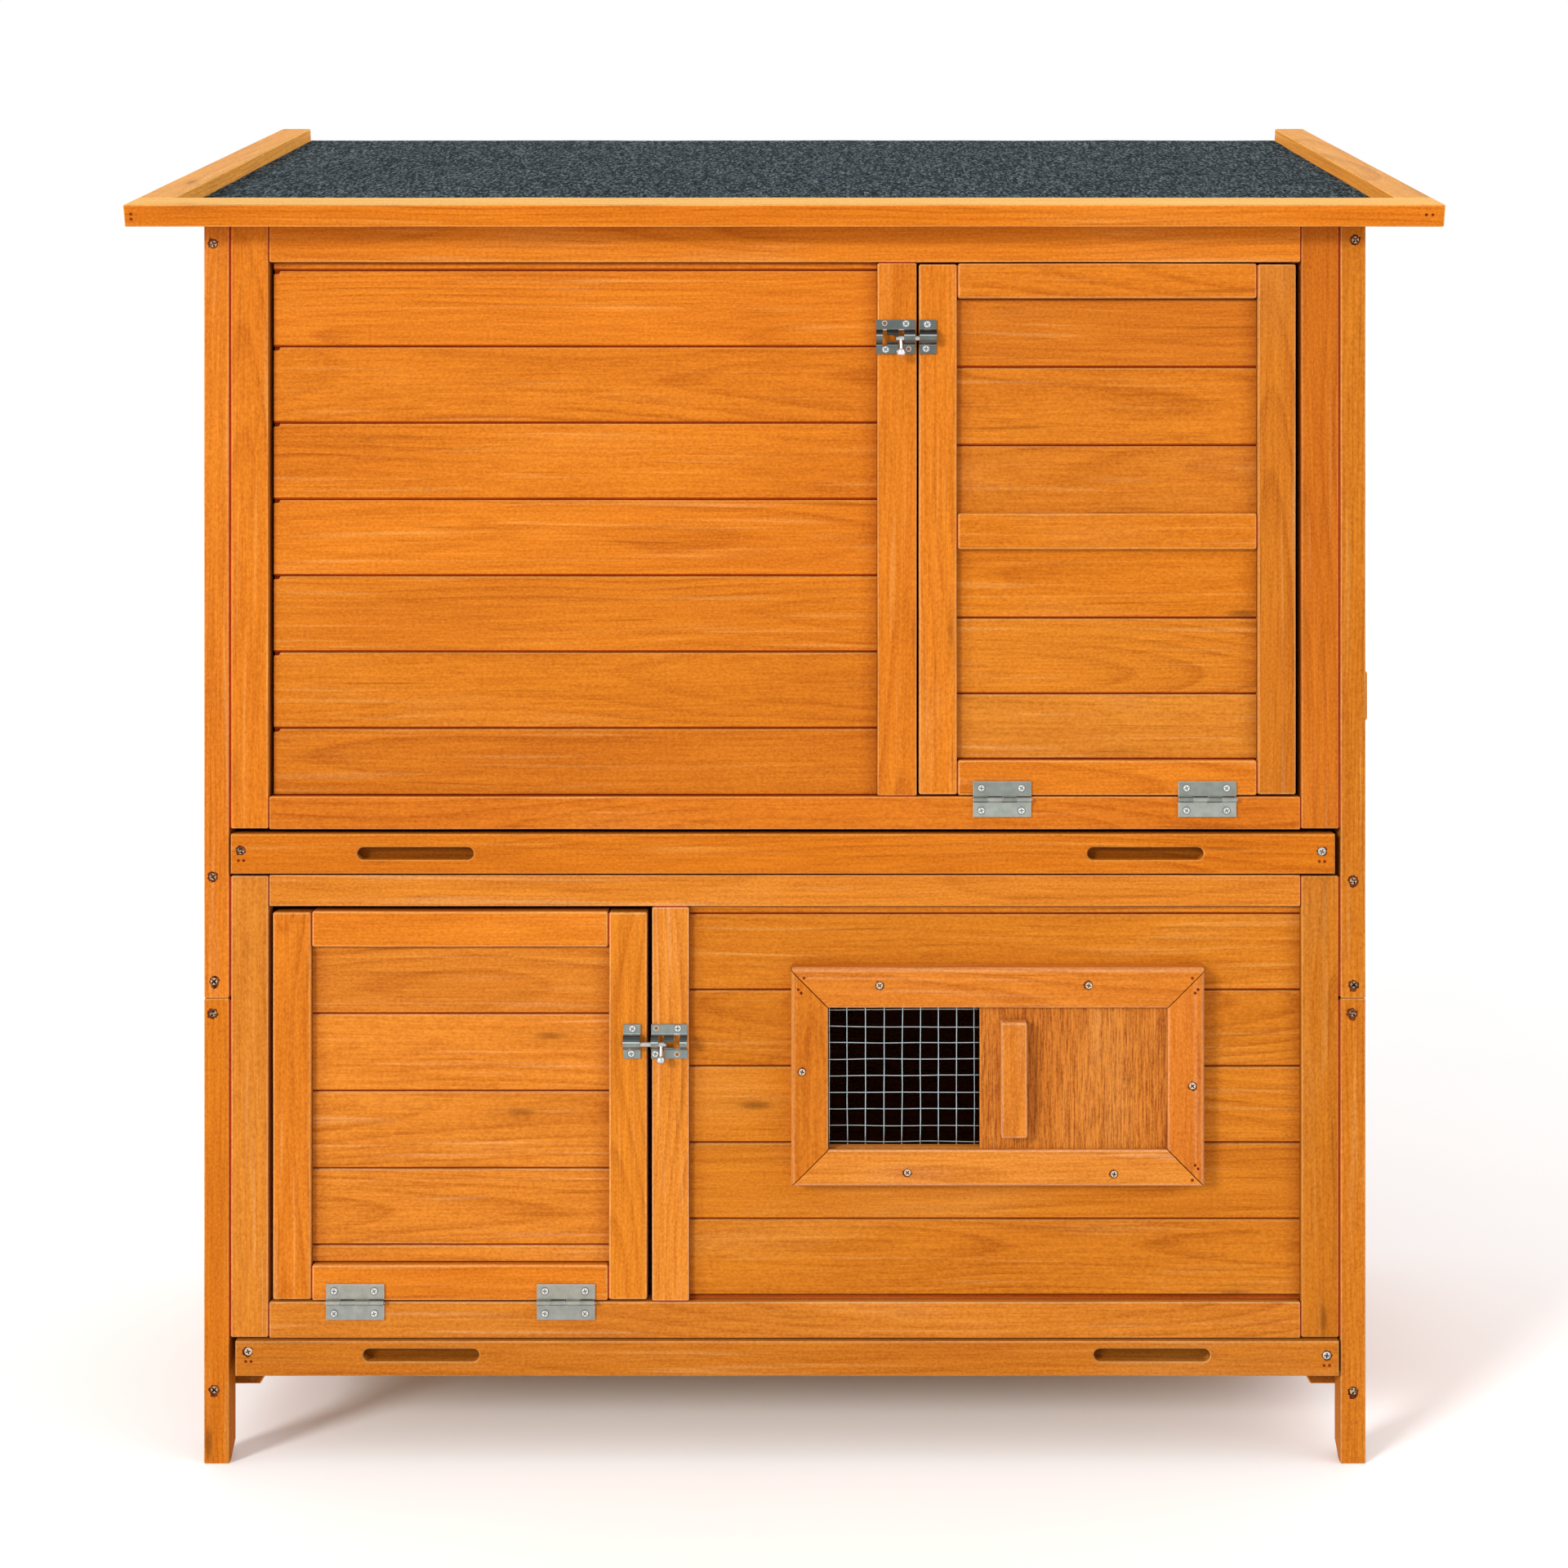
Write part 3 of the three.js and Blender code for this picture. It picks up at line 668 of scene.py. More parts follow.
for side, way in (("left", -1), ("right", 1)):
    node = f"{side}_side_panel"
    x, y, z = span(node)
    # the boards are made along X, then turned to run from front to back
    turned = boards(y, (-OUTSIDE, -INSIDE), (SIDE_RAILS[0][0], z[1] + 4), WALL_GROOVES, tone=LOW,
                    seed=6 + way)
    for bm in turned:
        turn = SWAP @ Matrix.Scale(way, 4, (0, 1, 0))
        bmesh.ops.transform(bm, matrix=turn, verts=bm.verts)
        if way < 0:
            bmesh.ops.reverse_faces(bm, faces=bm.faces)
        slope_cut(bm)
    piece(f"{side}_side_boards", "cabinet", [bm for bm in turned if bm.faces], STAIN, [node])
    rail_x = sorted(way * d for d in SIDE_RAIL_X)
    rails = [plank(rail_x, y, band, "y", tone=LOW) for band in SIDE_RAILS]
    piece(f"{side}_side_rails", "cabinet", rails, STAIN)
    ledges = []
    for tray in ("lower_tray", "upper_tray"):
        top = span(tray)[2][0] - 0.3
        low = top - LEDGE
        outline = [(way * INSIDE, low), (way * LEDGE_BEVEL_X, low),
                   (way * LEDGE_X, low + LEDGE_BEVEL), (way * LEDGE_X, top), (way * INSIDE, top)]
        # the ledges' ends are darkened as painted shade under the trays
        ledges.append(dress(round_arrises(prism("y", outline, y), 0.8), "y", tone=LOW, ends=0.42))
    piece(f"{side}_ledges", "cabinet", ledges, STAIN)
    x, y, z = span(f"{side}_side_handle")

    def ease(co):
        if abs(co.x - (x[1] if way > 0 else x[0])) < 1:
            co.z += 4 if co.z < sum(z) / 2 else -4

    timber(f"{side}_side_handle", "y", shape=ease, arris=2.2, segments=3, tone=POSTS)

BACK_Y, BACK_RAIL_Y = (200, 191), (200.2, 205)
x, y, z = span("back_panel")
wall = boards(x, BACK_Y, (z[0], wall_top(BACK_Y[1]) - 1), WALL_GROOVES, tone=LOW, seed=9)
piece("back_boards", "cabinet", wall, STAIN, ["back_panel"])
top_rail = (wall_top(BACK_RAIL_Y[1]) - 30, wall_top(BACK_Y[0]) - 0.5)
rails = [plank(x, BACK_RAIL_Y, band, "x", tone=LOW) for band in BACK_RAILS]
rails.append(plank(x, BACK_RAIL_Y, top_rail, "x", tone=LOW, shape=under_roof(top_rail)))
piece("back_rails", "cabinet", rails, STAIN)

# ---- trays ----


def ring_of(bm, points, y):
    return [bm.verts.new((px, y, pz)) for px, pz in points]


def loop_faces(bm, a, b, mark=0):
    kind = face_kinds(bm)
    for n in range(len(a)):
        m = (n + 1) % len(a)
        face = bm.faces.new((a[n], a[m], b[m], b[n]))
        face[kind] = mark


def fill_between(bm, rims):
    """Fills the plane between closed rings of vertices, and turns every face out."""
    edges = []
    for rim in rims:
        for pair in zip(rim, rim[1:] + rim[:1]):
            edges.append(bm.edges.get(pair) or bm.edges.new(pair))
    bmesh.ops.triangle_fill(bm, use_beauty=True, use_dissolve=False, edges=edges)
    bmesh.ops.recalc_face_normals(bm, faces=bm.faces)


def stadium(x, z, length, height, grow=0.0, sides=10):
    reach = (length - height) / 2
    radius = height / 2 + grow
    points = []
    for centre, start in ((x + reach, -90), (x - reach, 90)):
        for n in range(sides + 1):
            angle = math.radians(start + 180 * n / sides)
            points.append((centre + radius * math.cos(angle), z + radius * math.sin(angle)))
    return points


SLOT = (82, 9)  # the length and height of a tray's finger slots


def slotted_front(x, y, z, slots, middle, chamfer=1.1, depth=8.0, lip=0.9):
    """A tray's front board, with finger slots routed into it at the height middle."""
    bm = bmesh.new()
    kind = face_kinds(bm)
    grown = [(a[0] + chamfer, a[1] - chamfer) for a in (x, z)]
    front = ring_of(bm, rect(*grown), y[0])
    edge = ring_of(bm, rect(x, z), y[0] + chamfer)
    rear = ring_of(bm, rect(x, z), y[1] - chamfer)
    back = ring_of(bm, rect(*grown), y[1])
    loop_faces(bm, front, edge, ARRIS)
    loop_faces(bm, edge, rear)
    loop_faces(bm, rear, back, ARRIS)
    bm.faces.new(back)
    rims = [front]
    for at in slots:
        rim = ring_of(bm, stadium(at, middle, *SLOT, lip), y[0])
        wall = ring_of(bm, stadium(at, middle, *SLOT), y[0] + lip)
        floor = ring_of(bm, stadium(at, middle, *SLOT), y[0] + depth)
        loop_faces(bm, rim, wall, ARRIS)
        # the slot's walls and floor are darkened as painted shade
        loop_faces(bm, wall, floor, RECESS)
        bm.faces.new(floor)[kind] = RECESS
        rims.append(rim)
    fill_between(bm, rims)
    for face in bm.faces:
        if face[kind] == RECESS and face.normal.z > 0.4:
            face[kind] = 0  # the slot's sill is in the light
    return bm


# each tray's slots in x and z, and its tint
TRAYS = {"upper_tray": ((-260, 254), 431, (0.87, 0.82, 0.6)),
         "lower_tray": ((-256, 258.6), 77.7, (0.75, 0.81, 1.0))}
TRAY_SIDE, TRAY_FIT, TRAY_PLY = 14, 0.2, 3
for name, (slots, at, tone) in TRAYS.items():
    body = name.replace("tray", "pullout")
    x, y, z = span(name + "_front")
    front = dress(slotted_front(x, y, z, slots, at), "x", tone=tone, wander=0.12)
    piece(name + "_rail", body, [front], STAIN, [name + "_front"])
    x, y, z = span(name)
    within = (x[0] + (TRAY_SIDE + TRAY_FIT), x[1] - (TRAY_SIDE + TRAY_FIT))
    sides = [plank((x[0], x[0] + TRAY_SIDE), y, z, "y", tone=tone),
             plank((x[1] - TRAY_SIDE, x[1]), y, z, "y", tone=tone),
             plank(within, (y[1] - TRAY_SIDE, y[1]), z, "x", tone=tone)]
    piece(name + "_sides", body, sides, STAIN, [name])
    floor = plank(within, (y[0] + TRAY_FIT, y[1] - (TRAY_SIDE + TRAY_FIT)),
                  (z[0], z[0] + TRAY_PLY), "x", arris=0, wander=0)
    piece(name + "_floor", body, [floor], BARE_PLY)

# ---- window ----

x, y, z = span("window_frame")
FACE, BACK = y
OPEN_X, OPEN_Z = (30.6, 268.6), (224.7, 324.3)
BAR = 26
BARS = {"top": (z[1] - OPEN_Z[1], (0.93, 0.99, 1.6)), "bottom": (BAR, (1.0, 1.2, 2.4)),
        "left": (BAR, (0.84, 0.85, 1.0)), "right": (BAR, (0.95, 0.98, 1.7))}


def bar_outline(wide):
    """A window bar's section: v from the opening outwards, against depth."""
    points = [(14.2, BACK), (14.2, BACK - 1.5), (0, BACK - 1.5), (0, FACE + 7.3),
              (8.6, FACE + 7.3), (8.6, FACE + 3.3), (0, FACE + 3.3), (0, FACE + 1.2),
              (0.4, FACE + 0.4), (1.2, FACE)]
    radius = 4.2
    for n in range(5):
        angle = math.radians(90 * n / 4)
        points.append((wide - radius + radius * math.sin(angle),
                       FACE + radius - radius * math.cos(angle)))
    points.append((wide, BACK))
    return points


def window_bar(edge):
    wide, tone = BARS[edge]
    out = bar_outline(wide)
    along = "x" if edge in ("top", "bottom") else "z"
    ends, across = (OPEN_X, OPEN_Z) if along == "x" else (OPEN_Z, OPEN_X)
    base = across[1] if edge in ("top", "right") else across[0]
    way = 1 if edge in ("top", "right") else -1
    if along == "x":
        bm = prism("x", [(d, base + way * v) for v, d in out], ends)
    else:
        bm = prism("z", [(base + way * v, d) for v, d in out], ends)
    i, c = (0, 2) if along == "x" else (2, 0)
    kind = face_kinds(bm)
    for v in bm.verts:
        reach = min(abs(v.co[c] - base), BAR) - 0.5
        v.co[i] += reach if v.co[i] > sum(ends) / 2 else -reach
    for f in bm.faces:
        if f.normal.y < -0.1 and abs(f.normal.y) < 0.97 and abs(f.normal[i]) < 0.2:
            f[kind] = ARRIS
    bmesh.ops.recalc_face_normals(bm, faces=bm.faces)
    return dress(bm, along, tone=tone, wander=0.1, worn=0.24)


piece("window_bars", "cabinet", [window_bar(edge) for edge in BARS], STAIN, ["window_frame"])


def round_ring(bm, centre, radius, side, other, sides):
    """A ring of vertices in the plane of side and other."""
    turns = [2 * math.pi * n / sides for n in range(sides)]
    return [bm.verts.new(centre + radius * (math.cos(a) * side + math.sin(a) * other))
            for a in turns]


def tube(points, radius, sides=8):
    """A wire through points, capped."""
    bm = bmesh.new()
    rings = []
    for n, p in enumerate(points):
        before = points[max(n - 1, 0)]
        after = points[min(n + 1, len(points) - 1)]
        way = (Vector(after) - Vector(before)).normalized()
        side = way.orthogonal().normalized()
        if abs(way.y) < 0.9:
            side = way.cross(Vector((0, 1, 0))).normalized()
        rings.append(round_ring(bm, Vector(p), radius, side, way.cross(side), sides))
    for a, b in zip(rings, rings[1:]):
        loop_faces(bm, a, b)
    bm.faces.new(list(reversed(rings[0])))
    bm.faces.new(rings[-1])
    bmesh.ops.recalc_face_normals(bm, faces=bm.faces)
    return bm


def metal(bm, tone=(1, 1, 1), bright=0.0, rim=0.5):
    """Writes the tints that a metal part's material reads."""
    kind, tint = face_kinds(bm), face_tints(bm)
    # bright and rim paint highlight, all over and on the rims; pits are darkened as painted shade
    for face in bm.faces:
        light = bright + (rim if face[kind] == ARRIS else 0)
        dark = 0.25 if face[kind] == RECESS else 1
        for loop in face.loops:
            loop[tint] = (*(c * dark for c in tone), min(light, 1))
    return bm


x, y, z = span("window_mesh")
WIRE_RADIUS, MOST_WIRES = 0.36, 11
STEPS = [n / 22 for n in range(23)]
strands = []
for n in range(MOST_WIRES):
    at = x[0] + 0.5 + 12.85 * n
    if at > x[1]:
        break
    lean = CHANCE.uniform(-0.5, 0.5)
    strands.append([(at + lean * t + 0.35 * noise.noise(Vector((n * 3.1, t * 4, 0))),
                     y[0] - 0.15, z[0] + (z[1] - z[0]) * t) for t in STEPS])
for n in range(MOST_WIRES):
    at = z[0] + 0.4 + 11.65 * n
    if at > z[1]:
        break
    lean = CHANCE.uniform(-0.7, 0.7)
    strands.append([(x[0] + (x[1] - x[0]) * t, y[0] + 0.6,
                     at + lean * t + 0.45 * noise.noise(Vector((t * 4, n * 2.3, 5))))
                    for t in STEPS])
piece("window_wires", "cabinet", [metal(tube(points, WIRE_RADIUS)) for points in strands], WIRE,
      ["window_mesh"], smooth=True)

x, y, z = span("window_shutter")
sheet_y = (y[0] + 11, y[0] + 14.2)
sheet = plank(x, sheet_y, z, "z", arris=0.4, segments=1, worn=0.15, wander=0)
grip = plank((151.2, 169.4), (y[0], sheet_y[0]), (235, 315.8), "z", arris=1.6, segments=3,
             tone=(0.99, 1.14, 2.2), worn=0.22, ends=0.95, wander=0.5, step=9)
piece("shutter_sheet", "shutter", [sheet], PLY, ["window_shutter"])
piece("shutter_grip", "shutter", [grip], STAIN)

# ---- hinges ----

HINGE_GAP = 0.15  # between a knuckle and its quarter's ends
LEAF = 1.2        # a leaf's thickness


def knuckle(x, y, z, radius=1.7, sides=16):
    bm = prism("x", circle(y, z, radius, sides), (x[0] + HINGE_GAP, x[1] - HINGE_GAP))
    return round_arrises(bm, 0.25, 1)


def leaf(x, y, z, slots, axis):
    """A butt hinge leaf with its knuckles; axis is the pin's (y, z)."""
    quarter = (x[1] - x[0]) / 4
    up = sum(z) / 2 > axis[1]
    sheet_z = (axis[1] + 1.9, z[1]) if up else (z[0], axis[1] - 1.9)
    parts = [round_arrises(block(x, (y[1] - LEAF, y[1]), sheet_z), 0.3, 1)]
    for n in slots:
        part = (x[0] + quarter * n, x[0] + quarter * (n + 1))
        web = (axis[1], sheet_z[0] + 0.4) if up else (sheet_z[1] - 0.4, axis[1])
        parts.append(block((part[0] + HINGE_GAP, part[1] - HINGE_GAP), (y[1] - LEAF, y[1]), web))
        parts.append(knuckle(part, *axis))
    return parts


def disc(x, y, z, radius, thick, sides=24):
    return prism("y", circle(x, z, radius, sides), (y, y + thick))


def screw(x, y, z, radius=2.7, proud=0.6, tone=(1, 1, 1), cross_size=1.0):
    """A countersunk head facing -Y with a cross cut into it; y is the surface it sits in."""
    turn = CHANCE.uniform(0, math.pi / 2)
    bm = bmesh.new()
    kind = face_kinds(bm)
    front = y - proud
    rim, edge, face = [ring_of(bm, circle(x, z, r, 28), depth) for r, depth in
                       ((radius, y + 0.4), (radius, front + 0.35), (radius * 0.88, front))]
    loop_faces(bm, rim, edge)
    loop_faces(bm, edge, face, ARRIS)
    arm, half = radius * 0.66 * cross_size, radius * 0.17 * cross_size
    cross = []
    for q in range(4):
        a = turn + q * math.pi / 2
        for along, across in ((arm, -half), (arm, half), (half, half)):
            cross.append((x + along * math.cos(a) - across * math.sin(a),
                          z + along * math.sin(a) + across * math.cos(a)))
    lip = ring_of(bm, cross, front)
    pit = ring_of(bm, [(x + (px - x) * 0.8, z + (pz - z) * 0.8) for px, pz in cross],
                  front + radius * 0.4)
    loop_faces(bm, lip, pit, RECESS)
    bm.faces.new(pit)[kind] = RECESS
    fill_between(bm, [face, lip])
    # the head's rim gets painted highlight and its cross painted shade
    return metal(bm, tone, rim=0.25 if cross_size == 1 else 0.0)


def seated(x, y, z, radius=2.4):
    """A bright screw in the countersink of a metal plate, painted dark as the shade round its
    head.
    """
    return [metal(disc(x, y - 0.1, z, radius + 0.5, 0.2, 28), tone=(0.28, 0.28, 0.27)),
            screw(x, y, z, radius, proud=0.4)]


def crater(x, y, z, radius=3.7, drag=0.0, sides=26):
    """Torn fibres round a screw: a ragged, very thin disc, a little off centre."""
    outline = []
    x += CHANCE.uniform(-0.5, 0.3)
    z += CHANCE.uniform(-0.5, 0.3)
    for n in range(sides):
        a = 2 * math.pi * n / sides
        r = radius * CHANCE.uniform(0.84, 1.12)
        down = drag if math.sin(a) < -0.7 else 0
        outline.append((x + r * math.cos(a), z + r * math.sin(a) - down))
    return dress(prism("y", outline, (y - 0.12, y + 0.2)), "z", wander=0)


HINGE_Y = -207.5
AXIS_Z = {"upper": 469.0, "lower": 114.5}
LEAF_TONES = {("upper", "door"): (0.63, 0.635, 0.59), ("upper", "fixed"): (0.88, 0.88, 0.82),
              ("lower", "door"): (0.88, 0.84, 0.76), ("lower", "fixed"): (0.80, 0.80, 0.77)}
for storey, axis_z in AXIS_Z.items():
    for end in ("left", "right"):
        for half, slots in (("door", (0, 2)), ("fixed", (1, 3))):
            node = f"{storey}_{end}_hinge_{half}_leaf"
            x, y, z = span(node)
            parts = leaf(x, y, z, slots, (HINGE_Y, axis_z))
            owner = f"{storey}_door" if half == "door" else "cabinet"
            if half == "fixed":
                parts.append(prism("x", circle(HINGE_Y, axis_z, 0.8, 12),
                                   (x[0] - 0.5, x[1] + 0.9)))
            parts = [metal(p, LEAF_TONES[storey, half]) for p in parts]
            piece(node.replace("hinge_", "hinge_plate_"), owner, parts, ZINC, [node])
            height = axis_z + (7.9 if half == "door" else -7.9)
            heads = [part for t in (0.14, 0.83)
                     for part in seated(x[0] + (x[1] - x[0]) * t, y[1] - 1.3, height)]
            piece(node + "_screws", owner, heads, TIN, smooth=True)

# ---- barrel bolts ----

PLATE_BACK, PLATE_FACE = -205.3, -206.2
SHEET = 0.8
ARCH = [(12, 0.9), (5.9, 0.9), (5.4, 1.6), (5.0, 3.2), (4.2, 5.1), (2.6, 6.6), (1.2, 7.2),
        (0.4, 7.4), (-2.4, 6.8), (-4.2, 4.9), (-5.2, 3.0), (-5.6, 1.4), (-6.2, 0.9), (-12, 0.9)]
# how far each face between two of those points is lightened as painted highlight, or darkened, as
# painted shade and dark reflection, if negative
HIGHLIGHT_AND_SHADE_BANDS = {1: 0.9, 2: 0.6, 3: -0.66, 4: -0.72, 5: -0.66, 6: 0.7, 9: -0.25, 11: 0.3}


def stamped(at, z, lengths, openings, shade):
    """Sheet with a half-round channel along X. at(s) gives X; openings are (s, h) windows."""
    heights = [h for h, _ in ARCH]
    lengths = sorted(set(lengths) | {s for o in openings for s in o[0]})
    bm = bmesh.new()
    band = bm.faces.layers.int.new("band")
    grid = [[bm.verts.new((at(s), PLATE_BACK - d, z + h)) for h, d in ARCH] for s in lengths]
    for n in range(len(lengths) - 1):
        for m in range(len(ARCH) - 1):
            s, h = (lengths[n] + lengths[n + 1]) / 2, (heights[m] + heights[m + 1]) / 2
            if any(o[0][0] < s < o[0][1] and o[1][0] < h < o[1][1] for o in openings):
                continue
            face = bm.faces.new((grid[n][m], grid[n + 1][m], grid[n + 1][m + 1], grid[n][m + 1]))
            face[band] = m
    bmesh.ops.delete(bm, geom=[v for v in bm.verts if not v.link_faces], context="VERTS")
    bmesh.ops.recalc_face_normals(bm, faces=bm.faces)
    if sum(f.normal.y for f in bm.faces) > 0:
        bmesh.ops.reverse_faces(bm, faces=bm.faces)
    bmesh.ops.solidify(bm, geom=bm.faces[:], thickness=SHEET)
    metal(bm)
    tint = face_tints(bm)
    # each band across the channel is painted lighter or darker, as highlight and shade
    for face in bm.faces:
        level = HIGHLIGHT_AND_SHADE_BANDS.get(face[band], 0) if face.normal.y < 0.2 else 0
        for loop in face.loops:
            dark = shade * (1 + min(level, 0))
            loop[tint] = (0.92 * dark, dark, 0.98 * dark, max(level, 0) * 0.6)
    return bm


def hole_in_plate(x, z, radius=1.9):
    """An unused screw hole: a lip lightened as painted highlight, round a dark bottom."""
    return [metal(disc(x, PLATE_FACE - 0.15, z, radius, 0.15), rim=0, bright=0.25),
            metal(disc(x, PLATE_FACE - 0.25, z, radius * 0.72, 0.12), tone=(0.9, 0.28, 0.05))]


# rod: its tip and its rear end; the tip clears the door's edge when the bolt is drawn back
LATCHES = {
    "upper": dict(
        side=1, edge=91.8, plate=27.4, knob=10.0, rod=(104.8, 78.4), shade=0.36, knob_shine=0.6,
        openings=[((7.8, 11.6), (-9.6, 5.6)), ((11.6, 19.9), (-4.6, 1.9)),
                  ((19.9, 22.9), (-8.5, 5.6))],
        screws=[(6.3, 9.3), (20.7, -8.9)], holes=[(21.4, 9.6), (4.5, -8.6)],
        keeper_screws=[(100.5, 8.8), (99.6, -8.4)]),
    "lower": dict(
        side=-1, edge=-94.1, plate=25.4, knob=7.2, rod=(-107.5, -83.4), shade=0.66,
        knob_shine=0.05,
        openings=[((5.2, 9.2), (-9.6, 5.6)), ((9.2, 16.0), (-4.6, 1.9)),
                  ((16.0, 20.4), (-5.4, 5.6))],
        screws=[(18.7, 9.2), (2.9, -8.8)], holes=[(3.5, 9.4), (18.2, -9.0)],
        keeper_screws=[(-107.4, 9.0), (-108.2, -8.6)]),
}
ROD_Y, ROD_RADIUS, ROD_END = -209.5, 1.8, 0.5
KNOB_LEAN = 0.3  # radians, forward from hanging straight down
KNOB = [(0.0, 1.8), (0.6, 2.7), (1.4, 3.2), (3.8, 3.2), (4.6, 2.7), (5.0, 1.5)]
for storey, latch in LATCHES.items():
    side, edge, z = latch["side"], latch["edge"], sum(span(f"{storey}_bolt_plate")[2]) / 2
    shade, lit, door = latch["shade"], latch["knob_shine"], f"{storey}_door"
    plate = stamped(lambda s: edge - side * s, z, [0, latch["plate"]], latch["openings"], shade)
    piece(f"{storey}_bolt_housing", "cabinet", [plate], ZINC, [f"{storey}_bolt_plate"])
    marks = [part for s, h in latch["holes"] for part in hole_in_plate(edge - side * s, z + h)]
    piece(f"{storey}_bolt_holes", "cabinet", marks, ZINC)
    heads = [part for s, h in latch["screws"]
             for part in seated(edge - side * s, PLATE_FACE, z + h)]
    piece(f"{storey}_bolt_screws", "cabinet", heads, TIN, smooth=True)
    keeper = stamped(lambda s: s, z, span(f"{storey}_keeper")[0], [], shade)
    piece(f"{storey}_bolt_keeper", door, [keeper], ZINC, [f"{storey}_keeper"])
    heads = [part for sx, h in latch["keeper_screws"] for part in seated(sx, PLATE_FACE, z + h)]
    piece(f"{storey}_keeper_screws", door, heads, TIN, smooth=True)
    rod_z = z - 1.2
    low, high = sorted(latch["rod"])
    rod = tube([(at, ROD_Y, rod_z) for at in (low, low + ROD_END, high - ROD_END, high)],
               ROD_RADIUS, 16)
    down = Vector((0, -math.sin(KNOB_LEAN), -math.cos(KNOB_LEAN)))
    start = Vector((edge - side * latch["knob"], ROD_Y, rod_z))
    stem = tube([start, start + down * 9], 1.15, 12)
    knob_at = start + down * 10.5
    knob = bmesh.new()
    cross = Vector((1, 0, 0))
    other = down.cross(cross)
    rings = [round_ring(knob, knob_at + down * (reach - 2.4), r, cross, other, 18)
             for reach, r in KNOB]
    for a, b in zip(rings, rings[1:]):
        loop_faces(knob, a, b)
    knob.faces.new(rings[0])
    knob.faces.new(rings[-1])
    bmesh.ops.recalc_face_normals(knob, faces=knob.faces)
    # the stem and knob are lightened as painted highlight, as much as knob_shine
    parts = [metal(rod, (0.7, 0.7, 0.7)), metal(stem, (0.8, 0.8, 0.8), bright=lit),
             metal(knob, (0.75, 0.75, 0.75), bright=lit)]
    piece(f"{storey}_rod_and_knob", f"{storey}_bolt_rod", parts, TIN, [f"{storey}_bolt"],
          smooth=True)

# ---- screws and brads in the timber ----

POST_SCREWS = [(-403, 860.6), (-403.4, 414.2), (-402.6, 340.4), (-403.2, 318), (-402.4, 52.4),
               (402.5, 863.5), (401, 411.3), (401.4, 338.1), (400.6, 318), (401, 51.3)]
WINDOW_SCREWS = [(66.6, 340.1), (213.1, 340.1), (86.1, 209.1), (230.8, 208), (12.3, 279.5),
                 (285.7, 269.8)]
TRAY_SCREWS = {"upper_tray": [(-382.8, 433.2), (378.2, 432.6)],
               "lower_tray": [(-377.6, 80.6), (381.6, 77.8)]}


def sunk_screw(x, y, z):
    """A dull screw driven below the surface; how dull changes from one to the next."""
    dull = 0.64 + 0.16 * math.sin(z)
    return screw(x, y, z, 2.6, tone=(dull, 0.88 * dull, 0.70 * dull), cross_size=1.3, proud=0.3)


def brad(x, y, z):
    """A brad's hole: a small dark dint."""
    return dress(disc(x, y - 0.3, z, 1.0, 0.5, 10), "x", tone=(0.30, 0.12, 0.15), wander=0)


holes = [crater(sx, FRONT, sz, 3.8, CHANCE.choice((0, 1.2))) for sx, sz in POST_SCREWS]
piece("post_screw_holes", "cabinet", holes, TORN)
heads = [sunk_screw(sx, FRONT, sz) for sx, sz in POST_SCREWS]
piece("post_screws", "cabinet", heads, SCREW, smooth=True)
holes = [crater(sx, FACE, sz, 3.2) for sx, sz in WINDOW_SCREWS]
piece("window_screw_holes", "cabinet", holes, TORN)
heads = [screw(sx, FACE, sz, 2.45) for sx, sz in WINDOW_SCREWS]
piece("window_screws", "cabinet", heads, SCREW, smooth=True)
for name, places in TRAY_SCREWS.items():
    body = name.replace("tray", "pullout")
    y = span(name + "_front")[1][0]
    piece(name + "_screw_holes", body, [crater(sx, y, sz) for sx, sz in places], TORN)
    (left_x, left_z), (right_x, right_z) = places
    left = (sunk_screw if name == "upper_tray" else screw)(left_x, y, left_z)
    right = screw(right_x, y, right_z, tone=(0.72, 0.95, 1.25))
    piece(name + "_screws", body, [left, right], SCREW, smooth=True)
    pins = [brad(sx + dx, y, sz - 7) for sx, sz in places for dx in (-1.9, 1.9)]
    piece(name + "_brads", body, pins, STAIN)
mitres = [(x0 + dx, z0 + dz) for x0, z0, s, t in
          ((OPEN_X[0], OPEN_Z[1], -1, 1), (OPEN_X[1], OPEN_Z[1], 1, 1),
           (OPEN_X[1], OPEN_Z[0], 1, -1))
          for dx, dz in ((s * 17, t * 21), (s * 21, t * 13), (s * 19, t * 10.5))]
piece("window_brads", "cabinet", [brad(bx, FACE, bz) for bx, bz in mitres], STAIN)

# ---- roof ----

FASCIA, THICK, FIT = 35, 15.5, 0.3  # the fascia's width, the roof's thickness, and a gap
fx, fy, fz = span("roof_fascia")
ROOF = Matrix.Translation((0, fy[0], fz[1] - FASCIA * SIN)) @ Matrix.Rotation(SLOPE, 4, "X")
LENGTH = 450 / COS
EDGE = fx[1] - 25.4
ALONG = (FASCIA + FIT, LENGTH)


def roof_piece(name, parts, finish, nodes=()):
    piece(name, "lid", parts, finish, nodes, place=ROOF)


def tint_side(bm, way, tone):
    """Multiplies the tints of the faces that look towards -X or +X, as way is -1 or 1."""
    tint = face_tints(bm)
    for face in bm.faces:
        if face.normal.x * way > 0.8:
            for loop in face.loops:
                loop[tint] = (*(a * b for a, b in zip(loop[tint], tone)), loop[tint][3])


# the front batten's top is made pale as painted light from above
batten = plank(fx, (0, FASCIA), (-THICK, 0), "x", arris=0.9, top=0.94, worn=0.45, wander=0.2,
               tone=(0.99, 0.94, 0.74))
roof_piece("roof_front_batten", [batten], STAIN, ["roof_fascia"])
